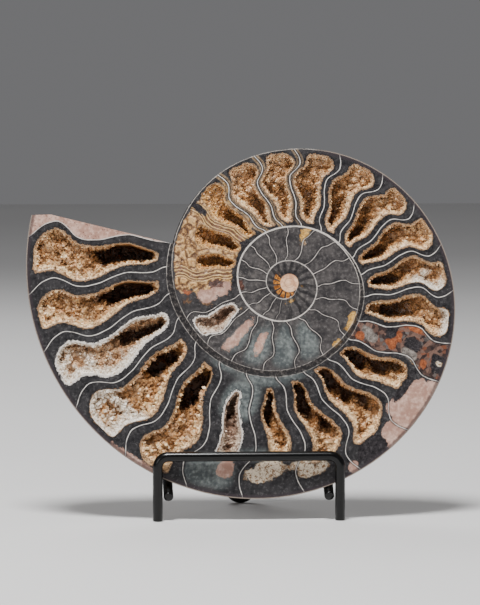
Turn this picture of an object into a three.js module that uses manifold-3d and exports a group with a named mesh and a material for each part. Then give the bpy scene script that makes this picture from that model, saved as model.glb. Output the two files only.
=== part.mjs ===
// A cut and polished half of a cleoniceras ammonite, leaning on its black wire display stand.
// Millimetres, +Z up, front towards -Y. The origin is under the middle of the whole piece, on the table.
import * as THREE from 'three';
import { mergeVertices } from 'three/addons/utils/BufferGeometryUtils.js';
import Module from 'manifold-3d';

const wasm = await Module();
wasm.setup();

// Driving dimensions of the fossil
const lastAngle = 1275.4; // the coil's total angle at the sawn mouth, degrees clockwise as seen from the front
const halfThickness = 23; // half of the last whorl's width, at the mouth
const thicknessGrowth = 0.00238; // how fast that width grows, per degree
const umbilicusShare = 0.19; // the navel's radius as a share of the whorl's outer radius
const fullestAt = 0.3; // where the flank is thickest, from navel seam 0 to outer edge 1
const seamShare = 0.55; // the flank's height at the navel seam, as a share of its thickest
const flankCurve = { power: 1.8, root: 0.59 }; // how the flank rounds off from its thickest to the outer edge
const ribHeight = 0.35;
const leanBack = 8; // degrees
const clearance = 0.3; // between pieces that touch
const coilCentre = { x: 16, y: 13.35, z: 93.9 }; // from the stand's middle, its front hoop and the table

// Driving dimensions of the stand
const wire = 4; // diameter
const hoopWidth = 73; // between the centres of the two front legs
const hoopHeight = 27.9;
const hoopBend = 4.2; // radius of the wire's centre line
const armSpread = hoopWidth / 2 - wire - clearance;
const armStart = 9.6; // height of the arms' front ends
const armPitch = 28; // degrees
const uprightSetback = 25.4; // where the uprights' centre line would meet the table, behind the hoop
const uprightTop = 98;
const frameBend = 7;
const rearFoot = 62; // how far the rear leg's foot stands behind the front hoop
const rearSpread = 9; // between the centres of the rear leg's two wires
const rearBend = 4.41; // just under half of that, so that the foot is one round bend

// The outer edge of the shell every 30 degrees, from total angle 150: radii from the coil's centre
const growthStart = 150;
const growthStep = 30;
const growth = [
  7.2, 8.2, 8.8, 9.2, 9.5, 10, 10.9, 12, 12.8, 13.6, 14.7, 16, 17.8, 19.6, 21.2, 22.2, 23.2, 25, 27.2,
  30, 31.6, 32.8, 35.6, 38.8, 42.4, 46.8, 49.8, 52.4, 54.6, 58, 62.2, 67.2, 72.4, 78.4, 85.2, 92, 98.8,
  104.4, 107.4,
];

// The walls between the chambers: at is the total angle near the wall's inner end, the rest is how far the
// wall swings from there, in degrees, at its foot, at its waist, at its shoulder and at the outer edge
const septa = {
  inner_1: { at: 867, foot: 1, lean: 4, shoulder: 1, end: 6 },
  inner_2: { at: 884.5, foot: 3, lean: 3.5, shoulder: 0.5, end: 5 },
  wall_01: { at: 911, foot: 4, lean: 5, shoulder: 2, end: 5 },
  wall_02: { at: 927, foot: 4, lean: 5.5, shoulder: 2, end: 5 },
  wall_03: { at: 945.3, foot: 2, lean: 5.8, shoulder: 3.5, end: 5 },
  wall_04: { at: 962, foot: 5.5, lean: 5.7, shoulder: 1.9, end: 4 },
  wall_05: { at: 979.5, foot: 5.5, lean: 5.5, shoulder: 0.6, end: 3.5 },
  wall_06: { at: 997.3, foot: 6, lean: 5.4, shoulder: 0.3, end: 4 },
  wall_07: { at: 1016.5, foot: 5.5, lean: 5.3, shoulder: 1.3, end: 4.2 },
  wall_08: { at: 1035.4, foot: 5.1, lean: 5.5, shoulder: 0.9, end: 4.2 },
  wall_09: { at: 1053.4, foot: 4.1, lean: 5.2, shoulder: 1.1, end: 6.4 },
  wall_10: { at: 1069.7, foot: 2.7, lean: 4.6, shoulder: 0.5, end: 4.3 },
  wall_11: { at: 1086.4, foot: 2.6, lean: 5.1, shoulder: 1, end: 4.4 },
  wall_12: { at: 1104, foot: 3, lean: 5.9, shoulder: 2.5, end: 4 },
  wall_13: { at: 1117.8, foot: 3.6, lean: 6.8, shoulder: 3.5, end: 5 },
  wall_14: { at: 1136.5, foot: 4.7, lean: 8.1, shoulder: 3.4, end: 6 },
  wall_15: { at: 1154, foot: 5, lean: 6.8, shoulder: 2.5, end: 5.5 },
  wall_16: { at: 1170.9, foot: 5.6, lean: 7, shoulder: 2.9, end: 5.4 },
  wall_17: { at: 1187.7, foot: 6.3, lean: 6.7, shoulder: 3.1, end: 5.7 },
  wall_18: { at: 1204.4, foot: 6.1, lean: 6.8, shoulder: 3.6, end: 8.1 },
  wall_19: { at: 1220, foot: 6.8, lean: 6, shoulder: 2.7, end: 6.7 },
  wall_20: { at: 1235.5, foot: 6.5, lean: 5.3, shoulder: 1.7, end: 6 },
  wall_21: { at: 1250.6, foot: 4.4, lean: 5.3, shoulder: 2.2, end: 6.3 },
  wall_22: { at: 1264.8, foot: 3.2, lean: 5.3, shoulder: 2.8, end: 7.3 },
  wall_23: { at: 1278.2, foot: 1.3, lean: 5.6, shoulder: 2.3, end: 8 },
};

// The hollows that the chambers keep: the walls on each side, how far the stone stands in from them at the
// inner and the outer end, the share of the whorl's height that the hollow takes, and its depth at both ends
// as a share of the shell's. The tint is the crystals' colour.
const tan = '#b79c78';
const pale = '#d9cdbb';
const ochre = '#b58d52';
const hollows = [
  { name: 'inner', between: ['inner_1', 'inner_2'], low: [1.2, 1], high: [1.2, 2],
    from: 0.18, to: 0.88, deep: [0.5, 0.3], tint: pale, sides: 12 },
  { name: 'ochre_lobe', between: ['wall_01', 'wall_02'], low: [1, 1], high: [0.9, 0.9],
    from: 0.06, to: 0.62, deep: [0.6, 0.3], tint: ochre, sides: 14 },
  { name: 'ochre_cleft', between: ['wall_02', 'wall_03'], low: [0.9, 0.9], high: [2, 2],
    from: 0.07, to: 0.74, deep: [0.6, 0.3], tint: ochre, sides: 14 },
  { name: 'ochre_chamber', between: ['wall_03', 'wall_04'], low: [1.5, 1.8], high: [2, 1.6],
    from: 0.06, to: 0.95, deep: [0.6, 0.2], tint: ochre },
  { name: 'chamber_01', between: ['wall_04', 'wall_05'], low: [1.7, 1.4], high: [1.1, 1.2],
    from: 0.05, to: 0.95, deep: [0.55, 0.3], tint: tan, sides: 16 },
  { name: 'chamber_02', between: ['wall_05', 'wall_06'], low: [1.8, 1.2], high: [1.3, 1.5],
    from: 0.06, to: 0.95, deep: [0.55, 0.3], tint: tan, sides: 16 },
  { name: 'chamber_03', between: ['wall_06', 'wall_07'], low: [1.6, 1.5], high: [1.6, 1.7],
    from: 0.06, to: 0.93, deep: [0.6, 0.3], tint: tan, sides: 16 },
  { name: 'chamber_04', between: ['wall_07', 'wall_08'], low: [2, 2.5], high: [2, 2],
    from: 0.06, to: 0.94, deep: [0.6, 0.25], tint: tan, sides: 16 },
  { name: 'chamber_05', between: ['wall_08', 'wall_09'], low: [1.8, 2.5], high: [2.5, 2.4],
    from: 0.06, to: 0.94, deep: [0.6, 0.25], tint: tan, sides: 16 },
  { name: 'chamber_06', between: ['wall_09', 'wall_10'], low: [1.8, 1.9], high: [2.2, 2],
    from: 0.07, to: 0.95, deep: [0.6, 0.25], tint: tan, sides: 16 },
  { name: 'chamber_07', between: ['wall_10', 'wall_11'], low: [2.3, 2], high: [2, 1.9],
    from: 0.08, to: 0.93, deep: [0.6, 0.25], tint: tan, sides: 16 },
  { name: 'chamber_08', between: ['wall_11', 'wall_12'], low: [2.4, 3.3], high: [2.2, 1.2],
    from: 0.06, to: 0.93, deep: [0.6, 0.25], tint: tan },
  { name: 'chamber_09', between: ['wall_13', 'wall_14'], low: [2.4, 2.3], high: [2.5, 2.9],
    from: 0.06, to: 0.68, deep: [0.6, 0.4], tint: tan, sides: 16 },
  { name: 'chamber_10', between: ['wall_14', 'wall_15'], low: [3.5, 3], high: [2.3, 1.4],
    from: 0.05, to: 0.8, deep: [0.6, 0.35], tint: tan },
  { name: 'chamber_11', between: ['wall_15', 'wall_16'], low: [4.4, 2.4], high: [2.9, 2.7],
    from: 0.08, to: 0.78, deep: [0.6, 0.35], tint: tan },
  { name: 'chamber_12', between: ['wall_16', 'wall_17'], low: [4.6, 5], high: [4.9, 4.1],
    from: 0.12, to: 0.66, deep: [0.55, 0.35], tint: tan, sides: 16 },
  { name: 'chamber_13', between: ['wall_17', 'wall_18'], low: [4.5, 7.2], high: [6.2, 4],
    from: 0.18, to: 0.68, deep: [0.4, 0.2], tint: tan, sides: 14 },
  { name: 'chamber_14', between: ['wall_18', 'wall_19'], low: [3.2, 3.2], high: [2.7, 4.4],
    from: 0.09, to: 0.95, deep: [0.6, 0.25], tint: tan, sides: 20 },
  { name: 'chamber_15', between: ['wall_19', 'wall_20'], low: [3.2, 2], high: [2.4, 3.2],
    from: 0.09, to: 0.95, deep: [0.6, 0.25], tint: tan, sides: 22 },
  { name: 'chamber_16', between: ['wall_20', 'wall_21'], low: [3.2, 3.4], high: [2.9, 3.8],
    from: 0.1, to: 0.95, deep: [0.5, 0.2], tint: pale },
  { name: 'chamber_17', between: ['wall_21', 'wall_22'], low: [3.7, 3], high: [3.1, 4],
    from: 0.085, to: 0.95, deep: [0.6, 0.25], tint: tan, sides: 20 },
  { name: 'chamber_18', between: ['wall_22', 'wall_23'], low: [2.9, 1.9], high: [3.2, 1.9],
    from: 0.085, to: 0.95, deep: [0.62, 0.3], tint: tan, sides: 22 },
];
const ringSides = 18;
const pocketRoom = 0.4; // between a crust and the stone around it
const pocketTaper = 0.84; // a hollow's floor as a share of its mouth
const crustRim = 1.1; // width of the crust's cut edge, flush with the polished face
const crustFloor = 1.3; // thickness of the crust under the hollow
const stoneWall = 1.6; // stone left behind the deepest hollow

const radians = THREE.MathUtils.degToRad;

// A smooth value between evenly spaced ones
function between(values, position) {
  const i = THREE.MathUtils.clamp(Math.floor(position), 0, values.length - 2);
  const t = position - i;
  const [b, c] = [values[i], values[i + 1]];
  const [a, d] = [values[i - 1] ?? b, values[i + 2] ?? c];
  return 0.5 * (2 * b + (c - a) * t + (2 * a - 5 * b + 4 * c - d) * t * t + (3 * b - a - 3 * c + d) * t ** 3);
}

function outerRadius(angle) {
  return between(growth, (angle - growthStart) / growthStep);
}

// A place on the cut face: total angle, and share of the whorl's height from its inner to its outer edge
function onFace(angle, share) {
  const inner = outerRadius(angle - 360);
  const radius = inner + share * (outerRadius(angle) - inner);
  return new THREE.Vector2(radius * Math.cos(radians(angle)), -radius * Math.sin(radians(angle)));
}

// How thick the shell is behind the cut face, at a total angle and a distance from the coil's centre
function shellDepth(angle, radius) {
  const edge = outerRadius(angle);
  const seam = umbilicusShare * edge;
  const thickest = halfThickness * Math.exp(-thicknessGrowth * (lastAngle - angle));
  const across = THREE.MathUtils.clamp((radius - seam) / (edge - seam), 0, 1);
  if (across < fullestAt) return thickest * (1 - (1 - seamShare) * (1 - across / fullestAt) ** 3);
  const outwards = (across - fullestAt) / (1 - fullestAt);
  return thickest * (1 - outwards ** flankCurve.power) ** flankCurve.root;
}

// The swing of a chamber wall, in shares of its own foot, lean, shoulder and end
const swing = [
  { share: 0, angle: (wall) => 1.3 * wall.foot },
  { share: 0.05, angle: (wall) => wall.foot },
  { share: 0.1, angle: (wall) => 0.25 * wall.foot },
  { share: 0.17, angle: () => 0 },
  { share: 0.3, angle: (wall) => -0.05 * wall.lean },
  { share: 0.4, angle: (wall) => -0.42 * wall.lean },
  { share: 0.49, angle: (wall) => -0.8 * wall.lean },
  { share: 0.6, angle: (wall) => -wall.lean },
  { share: 0.67, angle: (wall) => -0.95 * wall.lean },
  { share: 0.74, angle: (wall) => -0.3 * wall.lean - 0.7 * wall.shoulder },
  { share: 0.81, angle: (wall) => -wall.shoulder },
  { share: 0.9, angle: (wall) => -0.7 * wall.shoulder - 0.3 * wall.end },
  { share: 1, angle: (wall) => -wall.end },
];

function wallAngle(wall, share) {
  const last = swing.length - 2;
  const found = swing.findIndex((knot, i) => i <= last && share < swing[i + 1].share);
  const i = found < 0 ? last : found;
  const t = (share - swing[i].share) / (swing[i + 1].share - swing[i].share);
  const [before, after] = [swing[i].angle(wall), swing[i + 1].angle(wall)];
  return wall.at + THREE.MathUtils.lerp(before, after, THREE.MathUtils.clamp(t, 0, 1));
}

// A closed ring around a hollow on the cut face, scale 1 at its edge, with extra millimetres added outwards,
// and how deep the hollow is there
const sideSquareness = 0.4; // 1 would make a hollow an ellipse, less keeps its sides parallel for longer
const slimness = 0.3; // a hollow's width as a share of its length
function hollowRing(hollow, scale, extra) {
  const [low, high] = hollow.between.map((name) => septa[name]);
  const height = outerRadius(low.at) - outerRadius(low.at - 360);
  const sides = hollow.sides ?? ringSides;
  return Array.from({ length: sides }, (_, i) => {
    const turn = (2 * Math.PI * (i + 0.5)) / sides;
    const sideways = Math.cos(turn);
    const outwards = { x: Math.sign(sideways) * Math.abs(sideways) ** sideSquareness, y: Math.sin(turn) };
    const along = (outwards.y * (hollow.to - hollow.from)) / 2;
    const share = (hollow.from + hollow.to) / 2 + along * (1 - (1 - scale) * slimness);
    const blend = THREE.MathUtils.smoothstep(share, 0.3, 0.8);
    const [start, end] = [wallAngle(low, share), wallAngle(high, share)];
    const perDegree = radians(onFace((start + end) / 2, share).length());
    const left = start + THREE.MathUtils.lerp(...hollow.low, blend) / perDegree;
    const right = end - THREE.MathUtils.lerp(...hollow.high, blend) / perDegree;
    const angle = (left + right) / 2 + (outwards.x * (right - left) * scale) / 2;
    const behind = shellDepth(angle, onFace(angle, share).length()) - stoneWall - crustFloor;
    const fullest = shellDepth(angle, 2 * umbilicusShare * outerRadius(angle));
    const depth = Math.max(1, Math.min(fullest * THREE.MathUtils.lerp(...hollow.deep, blend), behind));
    const place = onFace(angle + (outwards.x * extra) / perDegree, share + (outwards.y * extra) / height);
    return { place, depth };
  });
}

// The triangles that fill a ring of points, in rungs across its middle as on a ladder
function rungs(count) {
  const top = Math.floor((count - 2) / 4);
  const order = Array.from({ length: count }, (_, i) => {
    return (top + (i % 2 ? (i + 1) / 2 : -i / 2) + count) % count;
  });
  return order.slice(2).map((_, i) => order.slice(i, i + 3).sort((a, b) => a - b));
}

// A closed solid from equal rings of points, the first and the last of them filled
function loft(rings) {
  const count = rings[0].length;
  const index = [];
  for (let i = 0; i < rings.length - 1; i++) {
    for (let j = 0; j < count; j++) {
      const [a, b] = [i * count + j, i * count + ((j + 1) % count)];
      index.push(a, b, b + count, a, b + count, a + count);
    }
  }
  const lastRing = (rings.length - 1) * count;
  for (const [a, b, c] of rungs(count)) {
    index.push(a, c, b, lastRing + a, lastRing + b, lastRing + c);
  }
  const positions = rings.flat().flatMap((point) => point.toArray());
  const geometry = new THREE.BufferGeometry();
  geometry.setAttribute('position', new THREE.Float32BufferAttribute(positions, 3));
  geometry.setIndex(index);
  return geometry;
}

function solid(geometry) {
  geometry.deleteAttribute('normal');
  geometry.deleteAttribute('uv');
  const merged = mergeVertices(geometry, 1e-4);
  const vertProperties = new Float32Array(merged.attributes.position.array);
  const triVerts = new Uint32Array(merged.index.array);
  const made = new wasm.Manifold(new wasm.Mesh({ numProp: 3, vertProperties, triVerts }));
  if (made.volume() > 0) return made;
  const turned = triVerts.map((_, i) => triVerts[i - (i % 3) + [0, 2, 1][i % 3]]);
  return new wasm.Manifold(new wasm.Mesh({ numProp: 3, vertProperties, triVerts: turned }));
}

function geometryOf(manifold) {
  const mesh = manifold.getMesh();
  const geometry = new THREE.BufferGeometry();
  geometry.setAttribute('position', new THREE.Float32BufferAttribute(mesh.vertProperties, mesh.numProp));
  geometry.setIndex([...mesh.triVerts]);
  return geometry;
}

// One stretch of the coil, from its navel seam out to its edge and well past the cut face, to be trimmed there
const flankShares = [0, 0.14, 0.3, 0.5, 0.7, 0.86, 0.955, 1];
const trimRoom = 4;
function coil(fromAngle, toAngle, step, ribbed) {
  const columns = [];
  for (let angle = fromAngle; angle < toAngle + step / 2; angle += step) {
    const edge = outerRadius(angle);
    const seam = umbilicusShare * edge;
    const outward = new THREE.Vector3(Math.cos(radians(angle)), -Math.sin(radians(angle)), 0);
    const column = [outward.clone().multiplyScalar(seam).setZ(trimRoom)];
    for (const across of flankShares) {
      const radius = seam + across * (edge - seam);
      const rib = ribbed && across > 0.2 && across < 0.9 && Math.round(angle / step) % 2 ? ribHeight : 0;
      column.push(outward.clone().multiplyScalar(radius).setZ(-shellDepth(angle, radius) - rib));
    }
    column.push(outward.clone().multiplyScalar(edge).setZ(trimRoom));
    columns.push(column);
  }
  return solid(loft(columns));
}

// The saw cut across the mouth, as seen from the front, and the block of air beyond it
const sawCut = [[-140, 28], [-102.4, 28.2], [-94.8, 28.4], [-48, 17], [-2, 5.8], [-2, 60], [-140, 60]];
const sawReach = 50; // behind the cut face, past the shell's back
function sawnAway() {
  const outline = new THREE.Shape(sawCut.map(([x, y]) => new THREE.Vector2(x, y)));
  const block = new THREE.ExtrudeGeometry(outline, { depth: sawReach + 2 * trimRoom, bevelEnabled: false });
  return solid(block.translate(0, 0, -sawReach));
}

const halfTurn = 180;
const innerWhorlStart = 555;
const lastWhorlStart = innerWhorlStart + 2 * halfTurn;
const mouthRoom = 15; // the coil runs on past the saw cut by this angle, and is cut there
const lastStep = 5;
const innerStep = 15;
const core = { radius: 10, depth: 2.2, sides: 14 };
const faceWidth = 260;
function shell() {
  const middle = lastWhorlStart + halfTurn;
  const mouthEnd = lastWhorlStart + 2 * halfTurn + mouthRoom;
  const mouthHalf = coil(middle, mouthEnd, lastStep, true).subtract(sawnAway());
  const otherHalf = coil(lastWhorlStart, middle, lastStep, true);
  const innerHalves = [0, halfTurn].map((turn) => {
    return coil(innerWhorlStart + turn, innerWhorlStart + turn + halfTurn, innerStep, false);
  });
  const centre = new THREE.CylinderGeometry(core.radius, core.radius, trimRoom + core.depth, core.sides);
  const coreSolid = solid(centre.rotateX(Math.PI / 2).translate(0, 0, (trimRoom - core.depth) / 2));
  const whole = mouthHalf.add(otherHalf).add(innerHalves[0]).add(innerHalves[1]).add(coreSolid);
  const faceTrim = new THREE.BoxGeometry(faceWidth, faceWidth, 2 * trimRoom).translate(0, 0, trimRoom);
  const pieces = whole.asOriginal().subtract(solid(faceTrim)).decompose();
  return pieces.sort((a, b) => b.volume() - a.volume())[0];
}

function pocket(hollow) {
  const edge = hollowRing(hollow, 1, pocketRoom);
  const floor = hollowRing(hollow, pocketTaper, pocketRoom);
  const proud = 0.02; // the pocket's edge stays clear of the cut face's own plane
  return solid(loft([
    edge.map(({ place }) => new THREE.Vector3(place.x, place.y, 1)),
    edge.map(({ place }) => new THREE.Vector3(place.x, place.y, proud)),
    floor.map(({ place, depth }) => new THREE.Vector3(place.x, place.y, -depth - crustFloor - pocketRoom)),
  ]));
}

// Repeatable random numbers from 0 to 1, by the usual multiply and remainder
function seeded(seed) {
  const [factor, modulus] = [16807, 2147483647];
  let state = seed;
  return () => {
    state = (state * factor) % modulus;
    return state / modulus;
  };
}
const random = seeded(7);

// The crystals that line a hollow: a block with a flat cut top, less the hollow itself, whose facets are
// dented where crystals grow into it. Its two lower rings are given by their size and depth, as shares.
const bowl = [{ size: 0.28, depth: 0.95 }, { size: 0.55, depth: 0.6 }];
const crystalRise = { least: 0.14, spread: 0.2 }; // height of a crystal's point as a share of its facet's size
function crust(hollow) {
  const ring = (scale, extra, heightOf) => {
    return hollowRing(hollow, scale, extra).map(({ place, depth }) => {
      return new THREE.Vector3(place.x, place.y, heightOf(depth));
    });
  };
  const block = loft([ring(pocketTaper, 0, (depth) => -depth - crustFloor), ring(1, 0, () => 0)]);
  const hollowSpace = loft([
    ...bowl.map((level) => ring(level.size, 0, (depth) => -level.depth * depth)),
    ring(1, -crustRim, () => 0),
    ring(1, -crustRim, () => 1),
  ]);
  const sides = hollow.sides ?? ringSides;
  const whole = solid(block).subtract(solid(withCrystals(hollowSpace, bowl.length, sides)));
  return geometryOf(whole.decompose().sort((a, b) => b.volume() - a.volume())[0]);
}

// Dents the middle of each four-sided facet of a loft's first bands into the point of a crystal
function withCrystals(geometry, bands, sides) {
  const positions = [...geometry.attributes.position.array];
  const old = [...geometry.index.array];
  const facet = 6;
  const end = bands * sides * facet;
  const index = old.slice(end);
  const corner = (i) => new THREE.Vector3().fromArray(positions, 3 * i);
  for (let i = 0; i < end; i += facet) {
    const [a, b, c, d] = [old[i], old[i + 1], old[i + 2], old[i + 5]];
    const [pa, pb, pc, pd] = [a, b, c, d].map(corner);
    const middle = pa.clone().add(pb).add(pc).add(pd).multiplyScalar(0.25);
    const inwards = pd.clone().sub(pb).cross(pc.clone().sub(pa)).normalize();
    const size = Math.min(pa.distanceTo(pb), pb.distanceTo(pc));
    middle.addScaledVector(inwards, size * (crystalRise.least + crystalRise.spread * random()));
    const point = positions.length / 3;
    positions.push(...middle.toArray());
    index.push(a, b, point, b, c, point, c, d, point, d, a, point);
  }
  const made = new THREE.BufferGeometry();
  made.setAttribute('position', new THREE.Float32BufferAttribute(positions, 3));
  made.setIndex(index);
  return made;
}

// The centre line of a bent wire: straight between its corners, with a round bend at each
class BentWire extends THREE.Curve {
  constructor(corners, radius) {
    super();
    this.stations = [{ point: corners[0], tangent: corners[1].clone().sub(corners[0]).normalize() }];
    for (let i = 1; i < corners.length - 1; i++) this.bend(corners[i - 1], corners[i], corners[i + 1], radius);
    const [before, last] = corners.slice(-2);
    this.stations.push({ point: last, tangent: last.clone().sub(before).normalize() });
  }

  bend(before, corner, after, radius) {
    const arriving = corner.clone().sub(before).normalize();
    const leaving = after.clone().sub(corner).normalize();
    const turn = arriving.angleTo(leaving);
    const setback = radius * Math.tan(turn / 2);
    const start = corner.clone().addScaledVector(arriving, -setback);
    const inward = leaving.clone().addScaledVector(arriving, -leaving.dot(arriving)).normalize();
    const steps = Math.max(2, Math.round(turn / radians(22)));
    for (let i = 0; i <= steps; i++) {
      const angle = (turn * i) / steps;
      const point = start.clone().addScaledVector(arriving, radius * Math.sin(angle));
      point.addScaledVector(inward, radius * (1 - Math.cos(angle)));
      const tangent = arriving.clone().multiplyScalar(Math.cos(angle));
      tangent.addScaledVector(inward, Math.sin(angle));
      this.stations.push({ point, tangent });
    }
  }

  station(u) {
    return this.stations[Math.round(u * (this.stations.length - 1))];
  }

  getPointAt(u) {
    return this.station(u).point.clone();
  }

  getTangentAt(u) {
    return this.station(u).tangent.clone();
  }
}

const wireSides = 10;
function wirePiece(corners, radius) {
  const path = new BentWire(corners.map(([x, y, z]) => new THREE.Vector3(x, y, z)), radius);
  const section = new THREE.Shape();
  section.absarc(0, 0, wire / 2, 0, 2 * Math.PI);
  return new THREE.ExtrudeGeometry(section, {
    steps: path.stations.length - 1,
    curveSegments: wireSides / 2,
    bevelEnabled: false,
    extrudePath: path,
  });
}

function frontHoop() {
  const [x, z] = [hoopWidth / 2, hoopHeight - wire / 2];
  return wirePiece([[-x, 0, 0], [-x, 0, z], [x, 0, z], [x, 0, 0]], hoopBend);
}

// Arms that rise backwards under the shell, and the leaning frame that they bend up into behind it
const tangentOfLean = Math.tan(radians(leanBack));
const tangentOfPitch = Math.tan(radians(armPitch));
const armEnd = (uprightSetback + tangentOfLean * armStart) / (1 - tangentOfLean * tangentOfPitch);
const frameTopY = uprightSetback + tangentOfLean * uprightTop;
function backFrame() {
  const side = (x) => [
    [x, 0, armStart],
    [x, armEnd, armStart + tangentOfPitch * armEnd],
    [x, frameTopY, uprightTop],
  ];
  return wirePiece([...side(-armSpread), ...side(armSpread).reverse()], frameBend);
}

// The rear leg is one hairpin, from behind the frame's top bar down to the table
function rearLeg() {
  const x = rearSpread / 2;
  const topY = frameTopY + wire + clearance;
  const [topZ, footZ] = [uprightTop + 1, wire / 2];
  return wirePiece([[-x, topY, topZ], [-x, rearFoot, footZ], [x, rearFoot, footZ], [x, topY, topZ]], rearBend);
}

function piece(name, geometry, colour, roughness, metalness = 0) {
  const material = new THREE.MeshStandardMaterial({ color: colour, roughness, metalness, flatShading: true });
  const mesh = new THREE.Mesh(geometry, material);
  mesh.name = name;
  return mesh;
}

const fossil = new THREE.Group();
const stone = hollows.reduce((rest, hollow) => rest.subtract(pocket(hollow)), shell());
fossil.add(piece('ammonite_half', geometryOf(stone), '#2d2c2f', 0.3));
for (const hollow of hollows) {
  fossil.add(piece(`crust_${hollow.name}`, crust(hollow), hollow.tint, 0.55));
}
fossil.rotation.x = Math.PI / 2 - radians(leanBack);
fossil.position.set(coilCentre.x, coilCentre.y, coilCentre.z);

const stand = new THREE.Group();
stand.add(piece('front_hoop', frontHoop(), '#0d0d0e', 0.25, 0.4));
stand.add(piece('back_frame', backFrame(), '#0d0d0e', 0.25, 0.4));
stand.add(piece('rear_leg', rearLeg(), '#0d0d0e', 0.25, 0.4));

const display = new THREE.Group();
display.add(fossil, stand);
display.updateMatrixWorld(true);
const box = new THREE.Box3().setFromObject(display, true);
display.position.set(-(box.min.x + box.max.x) / 2, -(box.min.y + box.max.y) / 2, -box.min.z);

export default display;
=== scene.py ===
# A cut and polished half of an ammonite on its black wire stand
import math
import random

import bmesh
import bpy
import mathutils
import numpy as np
from mathutils import Matrix, Vector


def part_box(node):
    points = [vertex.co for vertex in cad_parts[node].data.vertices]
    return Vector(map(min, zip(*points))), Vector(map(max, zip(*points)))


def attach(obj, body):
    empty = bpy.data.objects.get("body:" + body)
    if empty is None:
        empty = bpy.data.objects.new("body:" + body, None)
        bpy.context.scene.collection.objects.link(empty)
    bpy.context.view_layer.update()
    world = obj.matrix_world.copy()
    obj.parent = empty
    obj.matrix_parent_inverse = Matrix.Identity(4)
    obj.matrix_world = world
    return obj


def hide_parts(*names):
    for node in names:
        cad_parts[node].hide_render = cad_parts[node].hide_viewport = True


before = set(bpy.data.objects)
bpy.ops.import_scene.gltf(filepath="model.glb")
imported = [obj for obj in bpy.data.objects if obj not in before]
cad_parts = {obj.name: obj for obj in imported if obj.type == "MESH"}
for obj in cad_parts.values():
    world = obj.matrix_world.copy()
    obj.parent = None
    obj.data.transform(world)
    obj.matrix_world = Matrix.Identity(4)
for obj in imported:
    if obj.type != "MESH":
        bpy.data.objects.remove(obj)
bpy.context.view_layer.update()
mm = 0.001

# Face space: millimetres on the cut face, x right, y up, z towards the viewer, round the coil's centre
fossil = {
    "centre": (16, 13.35, 93.9),  # from the stand's middle, its front hoop and the table
    "lean": 8,
    "umbilicus": 0.19,            # the navel's radius as a share of the whorl's
    "halfThickness": 23,
    "thicknessGrowth": 0.00238,   # per degree
    "fullestAt": 0.3,
    "seamShare": 0.55,
    "flankPower": 1.8,
    "flankRoot": 0.59,
    "ribHeight": 0.3,
    "ribPitch": 9,                # degrees
    "fit": 0.9994,                # keeps the rounder outline inside the solid's flat facets
}
mouth = {
    "lastAngle": 1275.4,
    "firstAngle": 919.7,          # where the saw cut meets the older whorl
    "cut": [(-102.4, 28.2), (-94.8, 28.4), (-48, 17)],
    "cutEnd": (-2, 5.8),          # the cut runs on to here behind the older whorl
    "room": 15,
}

# Outer edge of the shell, every 30 degrees
growthStart = -210
growthStep = 30
growth = np.array([
    0.8, 1.2, 1.6, 2, 2.4, 2.9, 3.4, 3.9, 4.4, 5.1, 5.8, 6.5, 7.2, 8.2, 8.8, 9.2, 9.5, 10, 10.9, 12,
    12.8, 13.6, 14.7, 16, 17.8, 19.6, 21.2, 22.2, 23.2, 25, 27.2, 30, 31.6, 32.8, 35.6, 38.8, 42.4,
    46.8, 49.8, 52.4, 54.6, 58, 62.2, 67.2, 72.4, 78.4, 85.2, 92, 98.8, 104.4, 107.4])

# Chamber walls, numbered from 0: total angle, then how far each swings at its foot, waist, shoulder and outer
# end. From 24 on they stand beside the hollows.
walls = [
    (365, 0, 2, 0, 0), (385, 0, 2, 0, 0), (405, 0, 2, 0, 0), (425, 0, 3, 0, 0), (445, 0, 3, 0, 0),
    (468, 0, 3, 0, 0), (488, 0, 3, 0, 0), (511.5, 1, 4, 0, 0), (530, 1, 3, 0, 0), (548.5, 0, 2, 0, 0),
    (569.5, -1, 4, 1, 1), (588.5, -4, 2, 0, 2), (609.5, -5, 2.5, 0, 2), (632, -5, 2.3, 0, 1),
    (654.5, -5, 3.5, -1, -4), (676.5, -3, 2.7, -1, -3), (698, 1, 4, 0, 1), (720, 3.8, 4, 0.3, 0),
    (740, 6.5, 4.5, 0, 0), (761, 6.5, 5, -0.5, -1), (783.3, 6.7, 5.5, 0, 0), (805, 5, 5.2, 0, 0.5),
    (826.5, 5, 5.5, 0, 1), (847.8, 4.2, 5, 1, 2), (867, 1, 4, 1, 6), (884.5, 3, 3.5, 0.5, 5),
    (911, 4, 5, 2, 5), (927, 4, 5.5, 2, 5), (945.3, 2, 5.8, 3.5, 5), (962, 5.5, 5.7, 1.9, 4),
    (979.5, 5.5, 5.5, 0.6, 3.5), (997.3, 6, 5.4, 0.3, 4), (1016.5, 5.5, 5.3, 1.3, 4.2),
    (1035.4, 5.1, 5.5, 0.9, 4.2), (1053.4, 4.1, 5.2, 1.1, 6.4), (1069.7, 2.7, 4.6, 0.5, 4.3),
    (1086.4, 2.6, 5.1, 1, 4.4), (1104, 3, 5.9, 2.5, 4), (1117.8, 3.6, 6.8, 3.5, 5),
    (1136.5, 4.7, 8.1, 3.4, 6), (1154, 5, 6.8, 2.5, 5.5), (1170.9, 5.6, 7, 2.9, 5.4),
    (1187.7, 6.3, 6.7, 3.1, 5.7), (1204.4, 6.1, 6.8, 3.6, 8.1), (1220, 6.8, 6, 2.7, 6.7),
    (1235.5, 6.5, 5.3, 1.7, 6), (1250.6, 4.4, 5.3, 2.2, 6.3), (1264.8, 3.2, 5.3, 2.8, 7.3),
    (1278.2, 1.3, 5.6, 2.3, 8)]
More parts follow.
